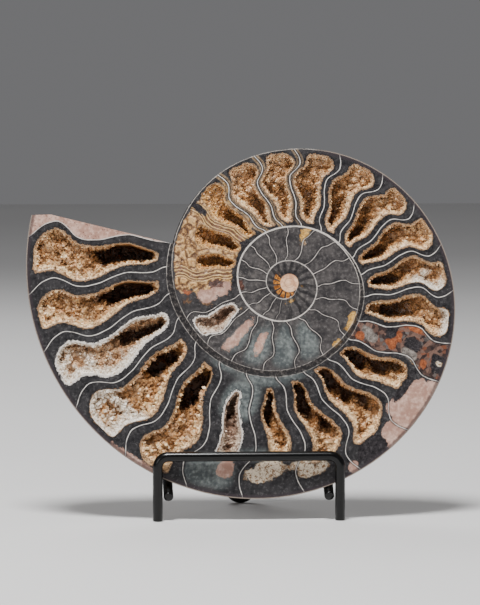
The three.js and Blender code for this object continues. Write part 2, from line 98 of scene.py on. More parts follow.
# How those swings are shared out over the whorl's height: share, foot, waist, shoulder, end
swing = np.array([
    (0, 1.3, 0, 0, 0), (0.05, 1, 0, 0, 0), (0.1, 0.25, 0, 0, 0), (0.17, 0, 0, 0, 0),
    (0.3, 0, -0.05, 0, 0), (0.4, 0, -0.42, 0, 0), (0.49, 0, -0.8, 0, 0), (0.6, 0, -1, 0, 0),
    (0.67, 0, -0.95, 0, 0), (0.74, 0, -0.3, -0.7, 0), (0.81, 0, 0, -1, 0),
    (0.9, 0, 0, -0.7, -0.3), (1, 0, 0, 0, -1)])


def smooth(value, start, end):
    t = np.clip((value - start) / (end - start), 0, 1)
    return t * t * (3 - 2 * t)


def between(values, position):
    # a smooth curve through evenly spaced values
    last = len(values) - 1
    i = np.clip(np.floor(position).astype(int), 0, last - 1)
    t = position - i
    a, b, c, d = values[np.maximum(i - 1, 0)], values[i], values[i + 1], values[np.minimum(i + 2, last)]
    square, cube = 2 * a - 5 * b + 4 * c - d, 3 * b - a - 3 * c + d
    return 0.5 * (2 * b + (c - a) * t + square * t * t + cube * t ** 3)


def outerRadius(angle):
    angle = np.asarray(angle, float)
    return np.where(angle < growthStart, 0, between(growth, (angle - growthStart) / growthStep))


swingShares = np.linspace(0, 1, 101)
widerShares = np.linspace(-0.08, 1.08, 117)
swingCurves = [np.interp(widerShares, swing[:, 0], column) for column in swing[:, 1:].T]
soften = np.hanning(11) / np.hanning(11).sum()
swingCurves = np.stack([np.convolve(curve, soften, "same")[8:109] for curve in swingCurves])


def wallAngle(wall, share):
    at, *swings = wall
    return at + np.interp(share, swingShares, np.array(swings) @ swingCurves)


def onFace(angle, share):
    inner = outerRadius(angle - 360)
    radius = inner + share * (outerRadius(angle) - inner)
    return radius * np.cos(np.radians(angle)), -radius * np.sin(np.radians(angle))


def shellDepth(angle, radius):
    edge = outerRadius(angle)
    seam = fossil["umbilicus"] * edge
    thickest = fossil["halfThickness"] * np.exp(-fossil["thicknessGrowth"] * (mouth["lastAngle"] - angle))
    across = np.clip((radius - seam) / (edge - seam), 0, 1)
    inwards = np.clip(1 - across / fossil["fullestAt"], 0, 1)
    outwards = np.clip((across - fossil["fullestAt"]) / (1 - fossil["fullestAt"]), 0, 1)
    flank = (1 - outwards ** fossil["flankPower"]) ** fossil["flankRoot"]
    return thickest * np.where(inwards > 0, 1 - (1 - fossil["seamShare"]) * inwards ** 3, flank), across


def turnOf(x, y):
    return np.degrees(np.arctan2(-y, x)) % 360


def frontAngle(x, y):
    # the total angle of the whorl that shows at a place on the face
    theta, radius = turnOf(x, y), np.hypot(x, y)
    angle = np.where(theta - 360 < growthStart, theta, theta - 360)
    for _ in range(4):
        beyond = (outerRadius(angle) < radius) & (angle + 360 < mouth["lastAngle"] + mouth["room"])
        angle = np.where(beyond, angle + 360, angle)
    return angle


def beforeCut(x, y):
    # which side of the saw cut a place on the back is
    (ax, ay), (bx, by) = mouth["cut"][1], mouth["cutEnd"]
    return (bx - ax) * (y - ay) - (by - ay) * (x - ax) <= 1e-3


def backAngle(x, y):
    # the total angle of the whorl that shows at a place on the back
    theta, radius = turnOf(x, y), np.hypot(x, y)
    late = (theta < 180) | ((theta < 225) & beforeCut(x, y))
    angle = np.where(late, theta + 1080, theta + 720)
    for _ in range(3):
        inNavel = (radius < fossil["umbilicus"] * outerRadius(angle)) & (angle > growthStart + 720)
        angle = np.where(inNavel, angle - 360, angle)
    return angle


low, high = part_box("front_hoop")
standMiddle = Vector(((low.x + high.x) / 2, (low.y + high.y) / 2, 0))
coilCentre = standMiddle + Vector(fossil["centre"]) * mm
toWorld = (Matrix.Translation(coilCentre)
           @ Matrix.Rotation(math.radians(90 - fossil["lean"]), 4, "X") @ Matrix.Scale(mm * fossil["fit"], 4))


class Socket:
    # a node's output that takes part in Python arithmetic
    def __init__(self, tree, output):
        self.tree, self.output = tree, output

    def math(self, operation, *others):
        return self.tree.add("ShaderNodeMath", {"operation": operation}, [self, *others])

    def __add__(self, other):
        return self.math("ADD", other)

    def __sub__(self, other):
        return self.math("SUBTRACT", other)

    def __mul__(self, other):
        return self.math("MULTIPLY", other)

    def __rsub__(self, other):
        return self.tree.add("ShaderNodeMath", {"operation": "SUBTRACT"}, [other, self])

    def __abs__(self):
        return self.math("ABSOLUTE")

    __radd__ = __add__
    __rmul__ = __mul__


class Tree:
    def __init__(self, nodes, links):
        self.nodes, self.links = nodes, links

    def add(self, kind, settings, inputs, output=0):
        node = self.nodes.new(kind)
        for name, value in settings.items():
            setattr(node, name, value)
        for key, value in (inputs.items() if isinstance(inputs, dict) else enumerate(inputs)):
            if isinstance(value, Socket):
                self.links.new(value.output, node.inputs[key])
            else:
                node.inputs[key].default_value = value
        return Socket(self, node.outputs[output])

    def attribute(self, name, output="Vector"):
        return self.add("ShaderNodeAttribute", {"attribute_name": name}, (), output)

    def split(self, vector):
        node = self.add("ShaderNodeSeparateXYZ", {}, [vector]).output.node
        return [Socket(self, output) for output in node.outputs]

    def parts(self, name):
        return self.split(self.attribute(name))


def colour(red, green, blue):
    # from the 0 to 255 of a picture to the linear values that a shader takes
    return tuple(((c / 255 + 0.055) / 1.055) ** 2.4 if c > 10 else c / 3295 for c in (red, green, blue))


def mix(factor, below, above, blend="MIX"):
    # three numbers are a colour from 0 to 255, four are linear
    tree = next(value.tree for value in (factor, below, above) if isinstance(value, Socket))
    below, above = [(*colour(*c), 1) if isinstance(c, tuple) and len(c) == 3 else c for c in (below, above)]
    settings = {"data_type": "RGBA", "blend_type": blend}
    return tree.add("ShaderNodeMix", settings, {0: factor, 6: below, 7: above}, 2)


def step(value, start, end):
    settings = {"interpolation_type": "SMOOTHSTEP"}
    return value.tree.add("ShaderNodeMapRange", settings, [value, start, end, 0, 1])


def noise(where, size, detail=2, roughness=0.5, distortion=0):
    inputs = {"Vector": where, "Scale": 1 / size, "Detail": detail}
    inputs |= {"Roughness": roughness, "Distortion": distortion}
    return where.tree.add("ShaderNodeTexNoise", {}, inputs)


def cells(where, size, output="Distance", feature="F1"):
    inputs = {"Vector": where, "Scale": 1 / size}
    return where.tree.add("ShaderNodeTexVoronoi", {"feature": feature}, inputs, output)


def bump(height, strength, distance):
    inputs = {"Strength": strength, "Distance": distance, "Height": height}
    return height.tree.add("ShaderNodeBump", {}, inputs)


def newMaterial(name, build, **values):
    # build(tree, where) gives the linked inputs of the shader; where is in millimetres
    material = bpy.data.materials.new(name)
    material.use_nodes = True
    nodes = material.node_tree.nodes
    tree = Tree(nodes, material.node_tree.links)
    shader = nodes["Principled BSDF"]
    objectPlace = tree.add("ShaderNodeTexCoord", {}, (), "Object")
    where = tree.add("ShaderNodeVectorMath", {"operation": "SCALE"}, {0: objectPlace, "Scale": 1 / mm})
    for key, value in {**values, **build(tree, where)}.items():
        if isinstance(value, Socket):
            tree.links.new(value.output, shader.inputs[key])
        else:
            shader.inputs[key].default_value = (*value, 1) if isinstance(value, tuple) else value
    return material


def hollowAt(wall, low, high, share, deep, pits, **looks):
    # between a wall and the next: millimetres of stone kept beside each at both ends, the share of the height
    # of the whorl it takes, its depth as a share of the shell's at both ends, and the pits in its crystals as
    # (from angle, to angle, from share, to share)
    return dict(walls=(wall, wall + 1), low=low, high=high, share=share, deep=deep, pits=pits, **looks)


hollows = {
    "inner": hollowAt(24, (1.2, 1), (1.2, 2), (0.18, 0.88), (0.5, 0.3),
        [(872, 877, 0.22, 0.42)], tint="pale", shade="dusky"),
    "ochre_lobe": hollowAt(26, (1, 1), (0.9, 0.9), (0.06, 0.62), (0.6, 0.3),
        [(913.7, 921.7, 0.11, 0.48)], tint="ochre"),
    "ochre_cleft": hollowAt(27, (0.9, 0.9), (2, 2), (0.07, 0.74), (0.6, 0.3),
        [(925, 939, 0.12, 0.5), (924, 934, 0.5, 0.6)], tint="ochre"),
    "ochre_chamber": hollowAt(28, (1.5, 1.8), (2, 1.6), (0.06, 0.95), (0.6, 0.2),
        [(946, 957, 0.25, 0.55)], tint="ochre"),
    "chamber_01": hollowAt(29, (1.7, 1.4), (1.1, 1.2), (0.05, 0.95), (0.55, 0.3),
        [(972, 977, 0.76, 0.87), (966, 977, 0.25, 0.5), (971, 976, 0.1, 0.2)]),
    "chamber_02": hollowAt(30, (1.8, 1.2), (1.3, 1.5), (0.06, 0.95), (0.55, 0.3),
        [(991, 994.5, 0.75, 0.88), (984, 994, 0.1, 0.5)]),
    "chamber_03": hollowAt(31, (1.6, 1.5), (1.6, 1.7), (0.06, 0.93), (0.6, 0.3),
        [(1001, 1007, 0.4, 0.5), (1002.5, 1011, 0.12, 0.4)]),
    "chamber_04": hollowAt(32, (2, 2.5), (2, 2), (0.06, 0.94), (0.6, 0.25),
        [(1015, 1019, 0.5, 0.65), (1020, 1026, 0.35, 0.5), (1020.5, 1032, 0.15, 0.38)]),
    "chamber_05": hollowAt(33, (1.8, 2.5), (2.5, 2.4), (0.06, 0.94), (0.6, 0.25),
        [(1034, 1039, 0.5, 0.6), (1039, 1043, 0.4, 0.5), (1041, 1048.5, 0.13, 0.4)]),
    "chamber_06": hollowAt(34, (1.8, 1.9), (2.2, 2), (0.07, 0.95), (0.6, 0.25),
        [(1051, 1058, 0.48, 0.63), (1057, 1066, 0.1, 0.42)]),
    "chamber_07": hollowAt(35, (2.3, 2), (2, 1.9), (0.08, 0.93), (0.6, 0.25),
        [(1068.5, 1074, 0.47, 0.64), (1073, 1082.5, 0.1, 0.42)], frost=[(1074, 1090, 0.55, 0.9)]),
    "chamber_08": hollowAt(36, (2.4, 3.3), (2.2, 1.2), (0.06, 0.93), (0.6, 0.25),
        [(1085, 1098, 0.35, 0.58), (1090, 1099, 0.22, 0.38)], frost=[(1080, 1100, 0.84, 1)]),
    "chamber_09": hollowAt(38, (2.4, 2.3), (2.5, 2.9), (0.06, 0.68), (0.6, 0.4),
        [(1113, 1118, 0.48, 0.6), (1122, 1134, 0.07, 0.3), (1115, 1124, 0.28, 0.5)]),
    "chamber_10": hollowAt(39, (3.5, 3), (2.3, 1.4), (0.05, 0.8), (0.6, 0.35),
        [(1142, 1149, 0.08, 0.28), (1137, 1144, 0.26, 0.42), (1133, 1138, 0.4, 0.6)]),
    "chamber_11": hollowAt(40, (4.4, 2.4), (2.9, 2.7), (0.08, 0.78), (0.6, 0.35),
        [(1159, 1166, 0.1, 0.4), (1151, 1156, 0.4, 0.56)]),
    "chamber_12": hollowAt(41, (4.6, 5), (4.9, 4.1), (0.12, 0.66), (0.55, 0.35),
        [(1177, 1181.5, 0.16, 0.45), (1167.5, 1171, 0.48, 0.58)]),
    "chamber_13": hollowAt(42, (4.5, 7.2), (6.2, 4), (0.18, 0.68), (0.4, 0.2),
        [(1193.5, 1196.5, 0.22, 0.36)], shade="dusky"),
    "chamber_14": hollowAt(43, (3.2, 3.2), (2.7, 4.4), (0.09, 0.95), (0.6, 0.25),
        [(1208, 1215.5, 0.15, 0.45)], coarse=1.7),
    "chamber_15": hollowAt(44, (3.2, 2), (2.4, 3.2), (0.09, 0.95), (0.6, 0.25),
        [(1225.5, 1232, 0.18, 0.42)], frost=[(1210, 1236, 0.66, 1)], coarse=1.8),
    "chamber_16": hollowAt(45, (3.2, 3.4), (2.9, 3.8), (0.1, 0.95), (0.5, 0.2),
        [(1240.5, 1244, 0.2, 0.45)], frost=[(1225, 1255, 0, 1)], tint="pale"),
    "chamber_17": hollowAt(46, (3.7, 3), (3.1, 4), (0.085, 0.95), (0.6, 0.25),
        [(1254.5, 1262, 0.14, 0.5)], coarse=1.4),
    "chamber_18": hollowAt(47, (2.9, 1.9), (3.2, 1.9), (0.085, 0.95), (0.62, 0.3),
        [(1267, 1275.5, 0.12, 0.52)], coarse=1.3),
}
pocketTaper = 0.84
crustFloor = 1.3
stoneWall = 1.6
pocketRoom = 0.4
cutGap = 0.04         # between the stone and the rim of a lining on the cut face
sideSquareness = 0.4
slimness = 0.3


def blendEnds(pair, share):
    return pair[0] + (pair[1] - pair[0]) * smooth(share, 0.3, 0.8)


def hollowRing(hollow, scale, extra, sides):
    # places, total angles, shares and depths of a ring round a hollow, scale 1 at its edge
    low, high = [walls[number] for number in hollow["walls"]]
    start, end = hollow["share"]
    at = low[0]
    height = outerRadius(at) - outerRadius(at - 360)
    turn = 2 * np.pi * (np.arange(sides) + 0.5) / sides
    across = np.sign(np.cos(turn)) * np.abs(np.cos(turn)) ** sideSquareness
    along = np.sin(turn)
    share = (start + end) / 2 + along * (end - start) / 2 * (1 - (1 - scale) * slimness)
    first, last = wallAngle(low, share), wallAngle(high, share)
    perDegree = np.radians(np.hypot(*onFace((first + last) / 2, share)))
    left = first + blendEnds(hollow["low"], share) / perDegree
    right = last - blendEnds(hollow["high"], share) / perDegree
    angle = (left + right) / 2 + across * (right - left) * scale / 2
    behind = shellDepth(angle, np.hypot(*onFace(angle, share)))[0] - stoneWall - crustFloor
    fullest = shellDepth(angle, 2 * fossil["umbilicus"] * outerRadius(angle))[0]
    depth = np.maximum(1, np.minimum(fullest * blendEnds(hollow["deep"], share), behind))
    shownAngle, shownShare = angle + across * extra / perDegree, share + along * extra / height
    x, y = onFace(shownAngle, shownShare)
    return x, y, shownAngle, shownShare, depth


def patchDistance(angle, share, patch):
    # millimetres from a patch of the unrolled whorl, less than 0 inside it
    first, last, low, high = patch
    height = outerRadius(angle) - outerRadius(angle - 360)
    perDegree = np.radians(outerRadius(angle - 360) + share * height)
    halfWide, halfTall = (last - first) / 2 * perDegree, (high - low) / 2 * height
    dx = np.abs(angle - (first + last) / 2) * perDegree / halfWide
    dy = np.abs(share - (low + high) / 2) * height / halfTall
    return ((dx ** 2.6 + dy ** 2.6) ** (1 / 2.6) - 1) * np.minimum(halfWide, halfTall)


def nearest(angle, share, patches):
    far = np.full(np.shape(angle), 9.0)
    for patch in patches:
        far = np.minimum(far, patchDistance(angle, share, patch))
    return far


# Stains on the polished face: (from angle, to angle, from share, to share)
stains = {
    "slate": [
        (781, 800, 0.12, 0.88), (803, 822, 0.12, 0.88), (825, 843, 0.14, 0.86), (846, 858, 0.2, 0.8),
        (1170, 1200, 0.0, 0.1), (1184, 1200, 0.06, 0.4), (1158, 1180, 0.0, 0.07), (1200, 1215, 0, 0.06),
        (1172, 1186, 0.6, 0.7), (1186, 1200, 0.7, 0.95)],
    "ochre": [
        (891, 958, 0.68, 0.95), (888, 956, 0.34, 0.72), (894, 959, 0.17, 0.4), (903, 961, 0.07, 0.24)],
    "orange": [
        (1098.6, 1101, 0.46, 0.68), (1103, 1108, 0.43, 0.49), (1107, 1113, 0.39, 0.46),
        (1108.4, 1111.6, 0.35, 0.44), (1109, 1112.5, 0.74, 0.82), (1113, 1117.5, 0.06, 0.14),
        (893.5, 897, 0.72, 0.85)],
    "cream": [
        (868, 879, 0.2, 0.87), (650, 656, 0.45, 0.6), (1107.2, 1109.2, 0.89, 0.96),
        (1112, 1112.8, 0.69, 0.79), (1157, 1166, 0.78, 0.88), (1160, 1169, 0.72, 0.8),
        (1171, 1180, 0.7, 0.84), (1174, 1183, 0.76, 0.87), (950.4, 951.8, 0.25, 0.3)],
    "pink": [
        (887.5, 896, 0.33, 0.64), (890, 897.5, 0.2, 0.4), (895, 902, 0.12, 0.22), (1115, 1132, 0.75, 1.04),
        (1113, 1122, 0.88, 1.04), (1126, 1132.5, 0.69, 0.82), (1130, 1139, 0.81, 1.04),
        (1149, 1152, 0.9, 1), (850, 858, 0.15, 0.82), (831, 838, 0.25, 0.7), (1186.5, 1191.5, 0.72, 0.86),
        (1205, 1217, 0.955, 1.04)],
    "brown": [
        (897, 903, 0.2, 0.41), (530, 545, 0.8, 1), (1177, 1181, 0.78, 0.86), (1160, 1163, 0.8, 0.85)],
    "dark": [
        (936, 947, -0.04, 0.13), (939.6, 942.8, 0.74, 1), (1102, 1110, 0.32, 0.44),
        (1103, 1108.5, 0.52, 0.72), (1113, 1128, 0.68, 0.76), (1138, 1148, 0.8, 1), (1105, 1111.4, 0.84, 1),
        (1098, 1104, 0, 0.07)],
    "grey": [
        (1107.4, 1112, 0.08, 0.2), (1109.4, 1115, 0.13, 0.27), (1108, 1112, 0.52, 0.7),
        (1103.4, 1104.4, 0.49, 0.56)],
    "yellow": [
        (742, 757, 0.84, 1), (765, 775, 0.88, 1.02), (360, 370, 0.15, 0.3), (425, 450, 0.1, 0.25),
        (646, 654, 0.62, 0.97)],
}


# The stone: the coil's back, the cut face and the pockets behind its hollows
coilRoom = 4          # millimetres that the coil runs on in front of the cut face, to be trimmed there
core = {"radius": 10, "depth": 6.2, "middle": 0.9}
# The older stretches of the coil: from angle, to angle, degrees between columns, with ribs or not
stretches = {"late": (915, 1095, 1.5, True), "middle": (735, 915, 3, False), "early": (555, 735, 3, False)}
saw = {"far": 140, "top": 60, "back": 50}     # how far the block of air beyond the saw cut reaches


def coil(bm, fromAngle, toAngle, spacing, ribbed):
    # one closed stretch of the coil, from its navel seam to its edge and past the cut face
    shares = np.concatenate([np.linspace(0, 0.9, 19), [0.93, 0.955, 0.975, 0.988, 0.996, 1]])
    columns = []
    for angle in np.arange(fromAngle, toAngle + spacing / 2, spacing):
        edge = float(outerRadius(angle))
        seam = fossil["umbilicus"] * edge
        radius = seam + shares * (edge - seam)
        depth, across = shellDepth(np.full(len(radius), angle), radius)
        if ribbed:
            bent = angle - 7 * np.sin(np.pi * across) - 3 * across
            fade = np.clip((across - 0.15) / 0.2, 0, 1) * np.clip((0.95 - across) / 0.15, 0, 1)
            depth = depth + fossil["ribHeight"] * fade * np.cos(2 * np.pi * bent / fossil["ribPitch"])
        turned = math.radians(angle)
        radius = np.concatenate([[seam], radius, [edge]])
        height = np.concatenate([[coilRoom], -depth, [coilRoom]])
        columns.append([bm.verts.new((r * math.cos(turned), -r * math.sin(turned), z))
                        for r, z in zip(radius, height)])
    for before, after in zip(columns, columns[1:]):
        for i in range(len(before)):
            j = (i + 1) % len(before)
            bm.faces.new((before[i], after[i], after[j], before[j]))
    bm.faces.new(columns[0])
    bm.faces.new(columns[-1][::-1])
    bmesh.ops.recalc_face_normals(bm, faces=bm.faces)


def newObject(name, bm):
    mesh = bpy.data.meshes.new(name)
    bm.to_mesh(mesh)
    bm.free()
    made = bpy.data.objects.new(name, mesh)
    bpy.context.scene.collection.objects.link(made)
    return made


def read(items, name, width=1, kind=float):
    # one value, or one row of values, of each item
    values = np.zeros(len(items) * width, kind)
    items.foreach_get(name, values)
    return values.reshape(-1, width) if width > 1 else values


def writePoints(mesh, name, *values):
    attribute = mesh.attributes.new(name, "FLOAT_VECTOR", "POINT")
    attribute.data.foreach_set("vector", np.stack(values, -1).astype(np.float32).ravel())


def bridge(bm, before, after):
    for i in range(len(before)):
        j = (i + 1) % len(before)
        bm.faces.new((before[i], before[j], after[j], after[i]))


def coilPiece(name, *stretch):
    bm = bmesh.new()
    coil(bm, *stretch)
    return newObject(name, bm)


def applyBoolean(target, other, operation):
    modifier = target.modifiers.new("Boolean", "BOOLEAN")
    modifier.operation, modifier.solver, modifier.object = operation, "MANIFOLD", other
    evaluated = target.evaluated_get(bpy.context.evaluated_depsgraph_get())
    mesh = bpy.data.meshes.new_from_object(evaluated)
    target.modifiers.clear()
    target.data = mesh
    bpy.data.objects.remove(other)


def sawnAway():
    # the block of air beyond the saw cut across the mouth
    outline = [(-saw["far"], 28), *mouth["cut"], mouth["cutEnd"], (mouth["cutEnd"][0], saw["top"]),
               (-saw["far"], saw["top"])]
    bm = bmesh.new()
    face = bm.faces.new([bm.verts.new((x, y, -saw["back"])) for x, y in outline])
    raised = bmesh.ops.extrude_face_region(bm, geom=[face])["geom"]
    raised = [item for item in raised if isinstance(item, bmesh.types.BMVert)]
    bmesh.ops.translate(bm, vec=(0, 0, saw["back"] + 10), verts=raised)
    bmesh.ops.recalc_face_normals(bm, faces=bm.faces)
    return newObject("saw", bm)


def coreDisc():
    bm = bmesh.new()
    radius, depth = core["radius"], core["depth"]
    bmesh.ops.create_cone(bm, segments=40, radius1=radius, radius2=radius, depth=depth, cap_ends=True)
    bmesh.ops.translate(bm, vec=(0, 0, core["middle"]), verts=bm.verts)
    return newObject("core", bm)


def shell():
    whole = coilPiece("stone", stretches["late"][1], mouth["lastAngle"] + mouth["room"], 1.5, True)
    applyBoolean(whole, sawnAway(), "DIFFERENCE")
    for name, stretch in stretches.items():
        applyBoolean(whole, coilPiece(name, *stretch), "UNION")
    applyBoolean(whole, coreDisc(), "UNION")
    bm = bmesh.new()
    bm.from_mesh(whole.data)
    everything = [*bm.verts, *bm.edges, *bm.faces]
    bmesh.ops.bisect_plane(
        bm, geom=everything, dist=1e-4, plane_co=(0, 0, 0), plane_no=(0, 0, 1), clear_outer=True)
    bpy.data.objects.remove(whole)
    return bm


def crossings(x, y, ring):
    # how many times a ray from each place crosses a closed ring
    ax, ay = ring
    bx, by = np.roll(ax, -1), np.roll(ay, -1)
    count = np.zeros(len(x), int)
    for x1, y1, x2, y2 in zip(ax, ay, bx, by):
        if y1 != y2:
            meets = (y1 > y) != (y2 > y)
            count += meets & (x < x1 + (y - y1) / (y2 - y1) * (x2 - x1))
    return count % 2 == 1


def spiralLine():
    # where each whorl meets the next one on the cut face, from the middle out to the notch at the mouth
    angles = [growthStart + 60.0]
    while angles[-1] < mouth["firstAngle"]:
        angles.append(angles[-1] + math.degrees(1 / max(float(outerRadius(angles[-1])), 3)))
    angles = np.array(angles[:-1] + [mouth["firstAngle"]])
    return onFace(angles, 1)


def cutFace(bm, rings, spacing=0.9):
    # fills the open outline at the cut face, round the hollows' rings, with small triangles
    edges = [edge for edge in bm.edges if edge.is_boundary]
    rim = list({vert for edge in edges for vert in edge.verts})
    number = {vert: i for i, vert in enumerate(rim)}
    places = [vert.co.xy for vert in rim]
    lines = [(number[edge.verts[0]], number[edge.verts[1]]) for edge in edges]
    for x, y in rings:
        first = len(places)
        places += [Vector(place) for place in zip(x, y)]
        lines += [(first + i, first + (i + 1) % len(x)) for i in range(len(x))]
    x, y = spiralLine()
    first = len(places)
    places += [Vector(place) for place in zip(x, y)]
    lines += [(first + i, first + i + 1) for i in range(len(x) - 1)]
    random.seed(5)
    reach = max(max(abs(place.x), abs(place.y)) for place in places)
    steps = int(reach / spacing) + 1
    for i in range(-steps, steps):
        for j in range(-steps, steps):
            spot = Vector((i + 0.5 * (j % 2), j * 0.87)) * spacing
            places.append(spot + Vector((random.uniform(-0.2, 0.2), random.uniform(-0.2, 0.2))))
    found = mathutils.geometry.delaunay_2d_cdt(places, lines, [], 1, 1e-5)
    flat, triangles, sources = found[0], found[2], found[3]
    x, y = np.array([place[:] for place in flat]).T
    corners = np.array(triangles)
    middle = x[corners].mean(1), y[corners].mean(1)
    keep = np.ones(len(corners), bool)
    for ring in rings:
        keep &= ~crossings(*middle, ring)
    verts = [next((rim[k] for k in source if k < len(rim)), None) for source in sources]
    isFace = bm.faces.layers.int.new("isFace")
    verts = [vert or bm.verts.new((a, b, 0)) for vert, a, b in zip(verts, x, y)]
    for face in corners[keep]:
        bm.faces.new([verts[k] for k in face])[isFace] = 1
    for vert in verts:
        if not vert.link_faces:
            bm.verts.remove(vert)


def pocket(bm, hollow, rim):
    # the pocket behind a hollow, from its edge down to a floor that is hidden by the crystals
    x, y, _, _, depth = hollowRing(hollow, pocketTaper, pocketRoom, len(rim))
    floor = [bm.verts.new((a, b, -d - crustFloor - pocketRoom)) for a, b, d in zip(x, y, depth)]
    bridge(bm, rim, floor)
    bmesh.ops.triangulate(bm, faces=[bm.faces.new(floor)])


def openVerts(bm):
    # the vertices round the holes of an open mesh, to be found by their place
    verts = list({vert for edge in bm.edges if edge.is_boundary for vert in edge.verts})
    tree = mathutils.kdtree.KDTree(len(verts))
    for i, vert in enumerate(verts):
        tree.insert(vert.co, i)
    tree.balance()
    return lambda x, y: verts[tree.find((x, y, 0))[1]]


# The look of the wall between two whorls, by its total angle: half width of its white line and of the dark
# band that it lies in, and how strongly it shines
whorlWall = np.array([
    (-210, 0.12, 0, 0.3), (180, 0.2, 0, 0.7), (360, 0.22, 0, 0.8), (500, 0.36, 0, 1), (650, 0.34, 0, 1),
    (690, 0.22, 0.3, 0.9), (730, 0.16, 0.9, 0.4), (800, 0.14, 1.3, 0.28), (900, 0.16, 1.3, 0.34),
    (925, 0.2, 0.6, 0.5), (960, 0.16, 0.2, 0.5), (1300, 0.16, 0.2, 0.5)])


centreDisc = {"x": 1, "y": 0.5, "radius": 3.7, "orangeRadius": 6.4}


def edgeDistance(x, y):
    # how far each corner lies from the nearest hollow, and whether its crystals are pale
    sides = 400
    rings = [hollowRing(hollow, 1, cutGap, sides) for hollow in hollows.values()]
    tree = mathutils.kdtree.KDTree(sides * len(rings))
    for i, ring in enumerate(rings):
        for a, b in zip(*ring[:2]):
            tree.insert((a, b, 0), i)
    tree.balance()
    tints = ["dusky" in hollow.values() or "pale" in hollow.values() for hollow in hollows.values()]
    found = [tree.find((a, b, 0)) for a, b in zip(x, y)]
    return np.array([item[2] for item in found]), np.array([float(tints[item[1]]) for item in found])


def markFace(mesh, faces):
    # writes where each corner of the cut face lies on the coil, and how far it is from the stains
    loopVert = read(mesh.loops, "vertex_index", kind=int)
    x, y = read(mesh.vertices, "co", 3)[loopVert, :2].T
    corners = read(mesh.polygons, "loop_start", kind=int)[faces][:, None] + np.arange(3)
    middle = x[corners].mean(1), y[corners].mean(1)
    angle = frontAngle(*middle)[:, None] + np.zeros(3)
    cornerTurn = turnOf(x[corners], y[corners])
    angle = angle + (cornerTurn - angle + 180) % 360 - 180
    inner, outer = outerRadius(angle - 360), outerRadius(angle)
    height = np.maximum(outer - inner, 0.5)
    share = (np.hypot(x[corners], y[corners]) - inner) / height
    inside = np.clip(share, 0, 1)
    perDegree = np.radians(np.maximum(inner + inside * height, 1))
    places = [wallAngle(wall, inside) for wall in walls]
    phase = np.zeros_like(angle)
    pitch = np.full_like(angle, 20.0)
    for before, after in zip(places, places[1:]):
        phase += np.clip((angle - before) / (after - before), 0, 1)
        pitch = np.where((angle >= before) & (angle < after), after - before, pitch)
    beyond = (angle - places[-1]) / 15
    phase += np.maximum(beyond, 0) + np.minimum((angle - places[0]) / 20, 0)
    pitch = np.where(beyond > 0, 15, pitch) * perDegree
    wallAt = np.where(share.mean(1, keepdims=True) > 0.5, angle, angle - 360)
    line, band, shine = [np.interp(wallAt, whorlWall[:, 0], whorlWall[:, k]) for k in (1, 2, 3)]
    stained = [nearest(angle, share, patches) for patches in stains.values()]
    write(mesh, "coil", corners, (phase, share, angle / 1000))
    write(mesh, "widths", corners, (pitch, height, line))
    fromDisc = np.hypot(x[corners] - centreDisc["x"], y[corners] - centreDisc["y"])
    write(mesh, "band", corners, (band, shine, fromDisc))
    edge, pale = edgeDistance(x, y)
    write(mesh, "edge", corners, (edge[corners], pale[corners], np.zeros_like(band)))
    names = list(stains)
    for i in range(0, len(names), 3):
        three = (stained[i:i + 3] + [np.zeros_like(band)] * 3)[:3]
        write(mesh, "_".join(names[i:i + 3]), corners, three)


def write(mesh, name, corners, values):
    attribute = mesh.attributes.new(name, "FLOAT_VECTOR", "CORNER")
    data = np.zeros((len(mesh.loops), 3), np.float32)
    data[corners] = np.stack(values, -1)
    attribute.data.foreach_set("vector", data.ravel())


def smoothBy(mesh, angle):
    bm = bmesh.new()
    bm.from_mesh(mesh)
    for face in bm.faces:
        face.smooth = True
    for edge in bm.edges:
        edge.smooth = len(edge.link_faces) == 2 and edge.calc_face_angle(0) < math.radians(angle)
    bm.to_mesh(mesh)
    bm.free()


# What lies between the walls, by their numbers: broken pieces, an ochre part where no wall is left, and the
# two old walls there that its bands follow
brokenFrom = 37
lostWalls = (25.3, 28.6)
foldWalls = (26, 28)


